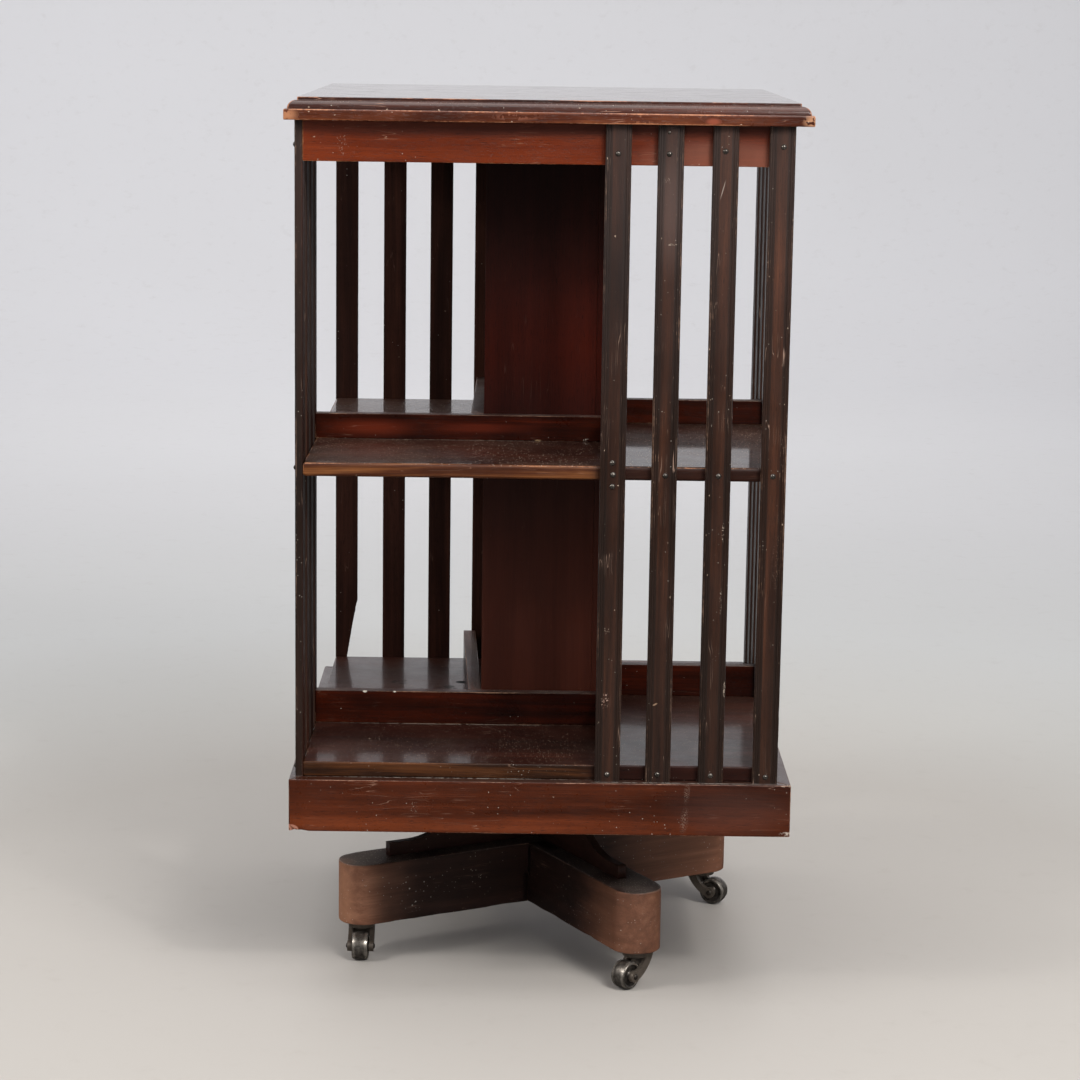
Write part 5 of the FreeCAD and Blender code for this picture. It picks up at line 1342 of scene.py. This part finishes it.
def floor_material():
    """Pale painted floor: warm near the object, cooler towards the wall; how bright it is from place to place is
    painted light and shade.
    """
    n = Nodes("studio_floor")
    tc = n.t.nodes.new("ShaderNodeTexCoord").outputs["Object"]
    x, y, z = n.xyz(tc)
    r = n.math("SQRT", n.add(n.mul(x, x), n.mul(y, y)))
    a = n.noise(tc, 0.7, 3.0, 0.5)
    b = n.noise(tc, 30.0, 4.0, 0.65)
    # painted light: dimmest about 0.7 m out from the object, brighter towards the wall
    col = n.ramp(n.mul(r, 0.125), [(0.0, lin(196, 190, 184)), (0.09, lin(190, 185, 179)), (0.135, lin(200, 198, 194)),
                                   (0.19, lin(207, 207, 206)), (0.33, lin(214, 213, 214)), (0.6, lin(221, 220, 222)), (1.0, lin(221, 220, 222))])
    col = n.mix(n.mul(n.step(a, 0.35, 0.65), 0.05), col, lin(176, 170, 164))
    col = n.mix(n.mul(n.step(b, 0.54, 0.8), 0.1), col, lin(150, 140, 130))
    # painted shade: darker towards the right
    col = n.mix(1.0, col, n.step(x, -3.2, 3.2, 1.035, 0.945, "LINEAR"), "MULTIPLY")
    n.set("Base Color", col)
    n.set("Roughness", n.step(a, 0.3, 0.7, 0.55, 0.65, "LINEAR"))
    n.set("Specular IOR Level", 0.25)
    return n.mat


# a round floor whose rim curves up into a wall; the far part in front and at
# the sides isn't mirrored in the polish, as in a studio that is dark there
segs, R0, RB = 120, 4.6, 2.2
rad = list(np.linspace(0.3, R0, 16)) + [R0 + RB * math.sin(t) for t in np.linspace(0.1, math.pi / 2, 14)] + [R0 + RB] * 2
hgt = [0.0] * 16 + [RB * (1 - math.cos(t)) for t in np.linspace(0.1, math.pi / 2, 14)] + [RB + 1.2, RB + 2.4]
FLOOR = floor_material()


def floor_part(name, keep):
    pts, faces, number = [], [], {}

    def vid(j, s_):
        s_ %= segs
        if (j, s_) not in number:
            number[(j, s_)] = len(pts)
            a = 2 * math.pi * s_ / segs
            pts.append((rad[j] * math.cos(a), rad[j] * math.sin(a), hgt[j]))
        return number[(j, s_)]

    for j in range(len(rad) - 1):
        for s_ in range(segs):
            if keep(rad[j], math.degrees(2 * math.pi * (s_ + 0.5) / segs)):
                faces.append((vid(j, s_), vid(j + 1, s_), vid(j + 1, s_ + 1), vid(j, s_ + 1)))
    if keep(0.0, 90.0):
        faces.append(tuple(vid(0, s_) for s_ in range(segs)))
    o = stage_mesh(name, pts, faces, FLOOR)
    o.visible_shadow = False
    return o


def mirrored(r_, a_):
    return r_ > 0.5 and 35.0 < a_ < 145.0


floor_part("studio_floor_near", mirrored)
far = floor_part("studio_floor_far", lambda r_, a_: not mirrored(r_, a_))
far.visible_glossy = False


def area(name, loc, target, size, power, color=(1, 1, 1), size_y=None, glossy=True):
    l = bpy.data.lights.new(name, "AREA")
    l.energy = power
    l.color = color
    l.shape = "RECTANGLE" if size_y else "SQUARE"
    l.size = size
    if size_y:
        l.size_y = size_y
    o = bpy.data.objects.new(name, l)
    o.location = loc
    o.rotation_euler = (Vector(target) - Vector(loc)).to_track_quat("-Z", "Y").to_euler()
    o.visible_glossy = glossy
    SC.collection.objects.link(o)
    return o


world = bpy.data.worlds.new("studio_air")
SC.world = world
world.use_nodes = True
wt = world.node_tree
bg = wt.nodes["Background"]
tc = wt.nodes.new("ShaderNodeTexCoord")
sx = wt.nodes.new("ShaderNodeSeparateXYZ")
wt.links.new(tc.outputs["Generated"], sx.inputs[0])
rp = wt.nodes.new("ShaderNodeValToRGB")
rp.color_ramp.elements[0].position, rp.color_ramp.elements[0].color = 0.46, (0.05, 0.048, 0.045, 1)
rp.color_ramp.elements[1].position, rp.color_ramp.elements[1].color = 0.62, (0.85, 0.86, 0.88, 1)
mr = wt.nodes.new("ShaderNodeMapRange")
mr.inputs["From Min"].default_value, mr.inputs["From Max"].default_value = -1.0, 1.0
wt.links.new(sx.outputs[2], mr.inputs["Value"])
wt.links.new(mr.outputs[0], rp.inputs[0])
wt.links.new(rp.outputs[0], bg.inputs[0])
bg.inputs[1].default_value = 0.47

area("soft_right", (1.15, -1.95, 2.15), (0, 0, 0.6), 1.3, 46, (1.0, 0.985, 0.96))
area("hard_right", (1.16, -1.97, 2.17), (0, 0, 0.6), 0.2, 14, (1.0, 0.985, 0.96))
area("soft_left", (-2.2, -1.25, 1.9), (0, 0, 0.6), 1.1, 21, (1.0, 0.985, 0.96))
area("hard_left", (-2.22, -1.26, 1.92), (0, 0, 0.6), 0.2, 8, (1.0, 0.985, 0.96))
area("overhead", (-0.05, 0.0, 3.3), (0.0, 0, 0.4), 2.8, 48, (1, 1, 1), 2.6)
area("back_wash", (-0.3, 3.2, 3.0), (-0.15, 5.6, 0.9), 3.4, 64, (0.985, 0.99, 1.0), 1.4)

# --------------------------------------------------------------------- camera
cam_data = bpy.data.cameras.new("camera")
cam = bpy.data.objects.new("camera", cam_data)
SC.collection.objects.link(cam)
yaw, pitch, roll, focal = 0.0038, 0.1833, -0.0141, 2874.7
fwd = Vector((math.sin(yaw) * math.cos(pitch), math.cos(yaw) * math.cos(pitch), -math.sin(pitch)))
right = Vector((math.cos(yaw), -math.sin(yaw), 0.0))
down = fwd.cross(right)
cr, sr = math.cos(roll), math.sin(roll)
r2 = right * cr + down * sr
d2 = -right * sr + down * cr
M = Matrix((r2, -d2, -fwd)).transposed().to_4x4()
M.translation = Vector((-13.27, -2895.9, 949.91)) * MM
cam.matrix_world = M
cam_data.sensor_width = 36.0
cam_data.lens = focal / 1080.0 * 36.0
cam_data.clip_start, cam_data.clip_end = 0.05, 60.0
cam_data.dof.use_dof = False
SC.camera = cam

SC.view_settings.view_transform = "Standard"
SC.view_settings.look = "None"
SC.view_settings.exposure = 0.0
SC.view_settings.gamma = 1.0
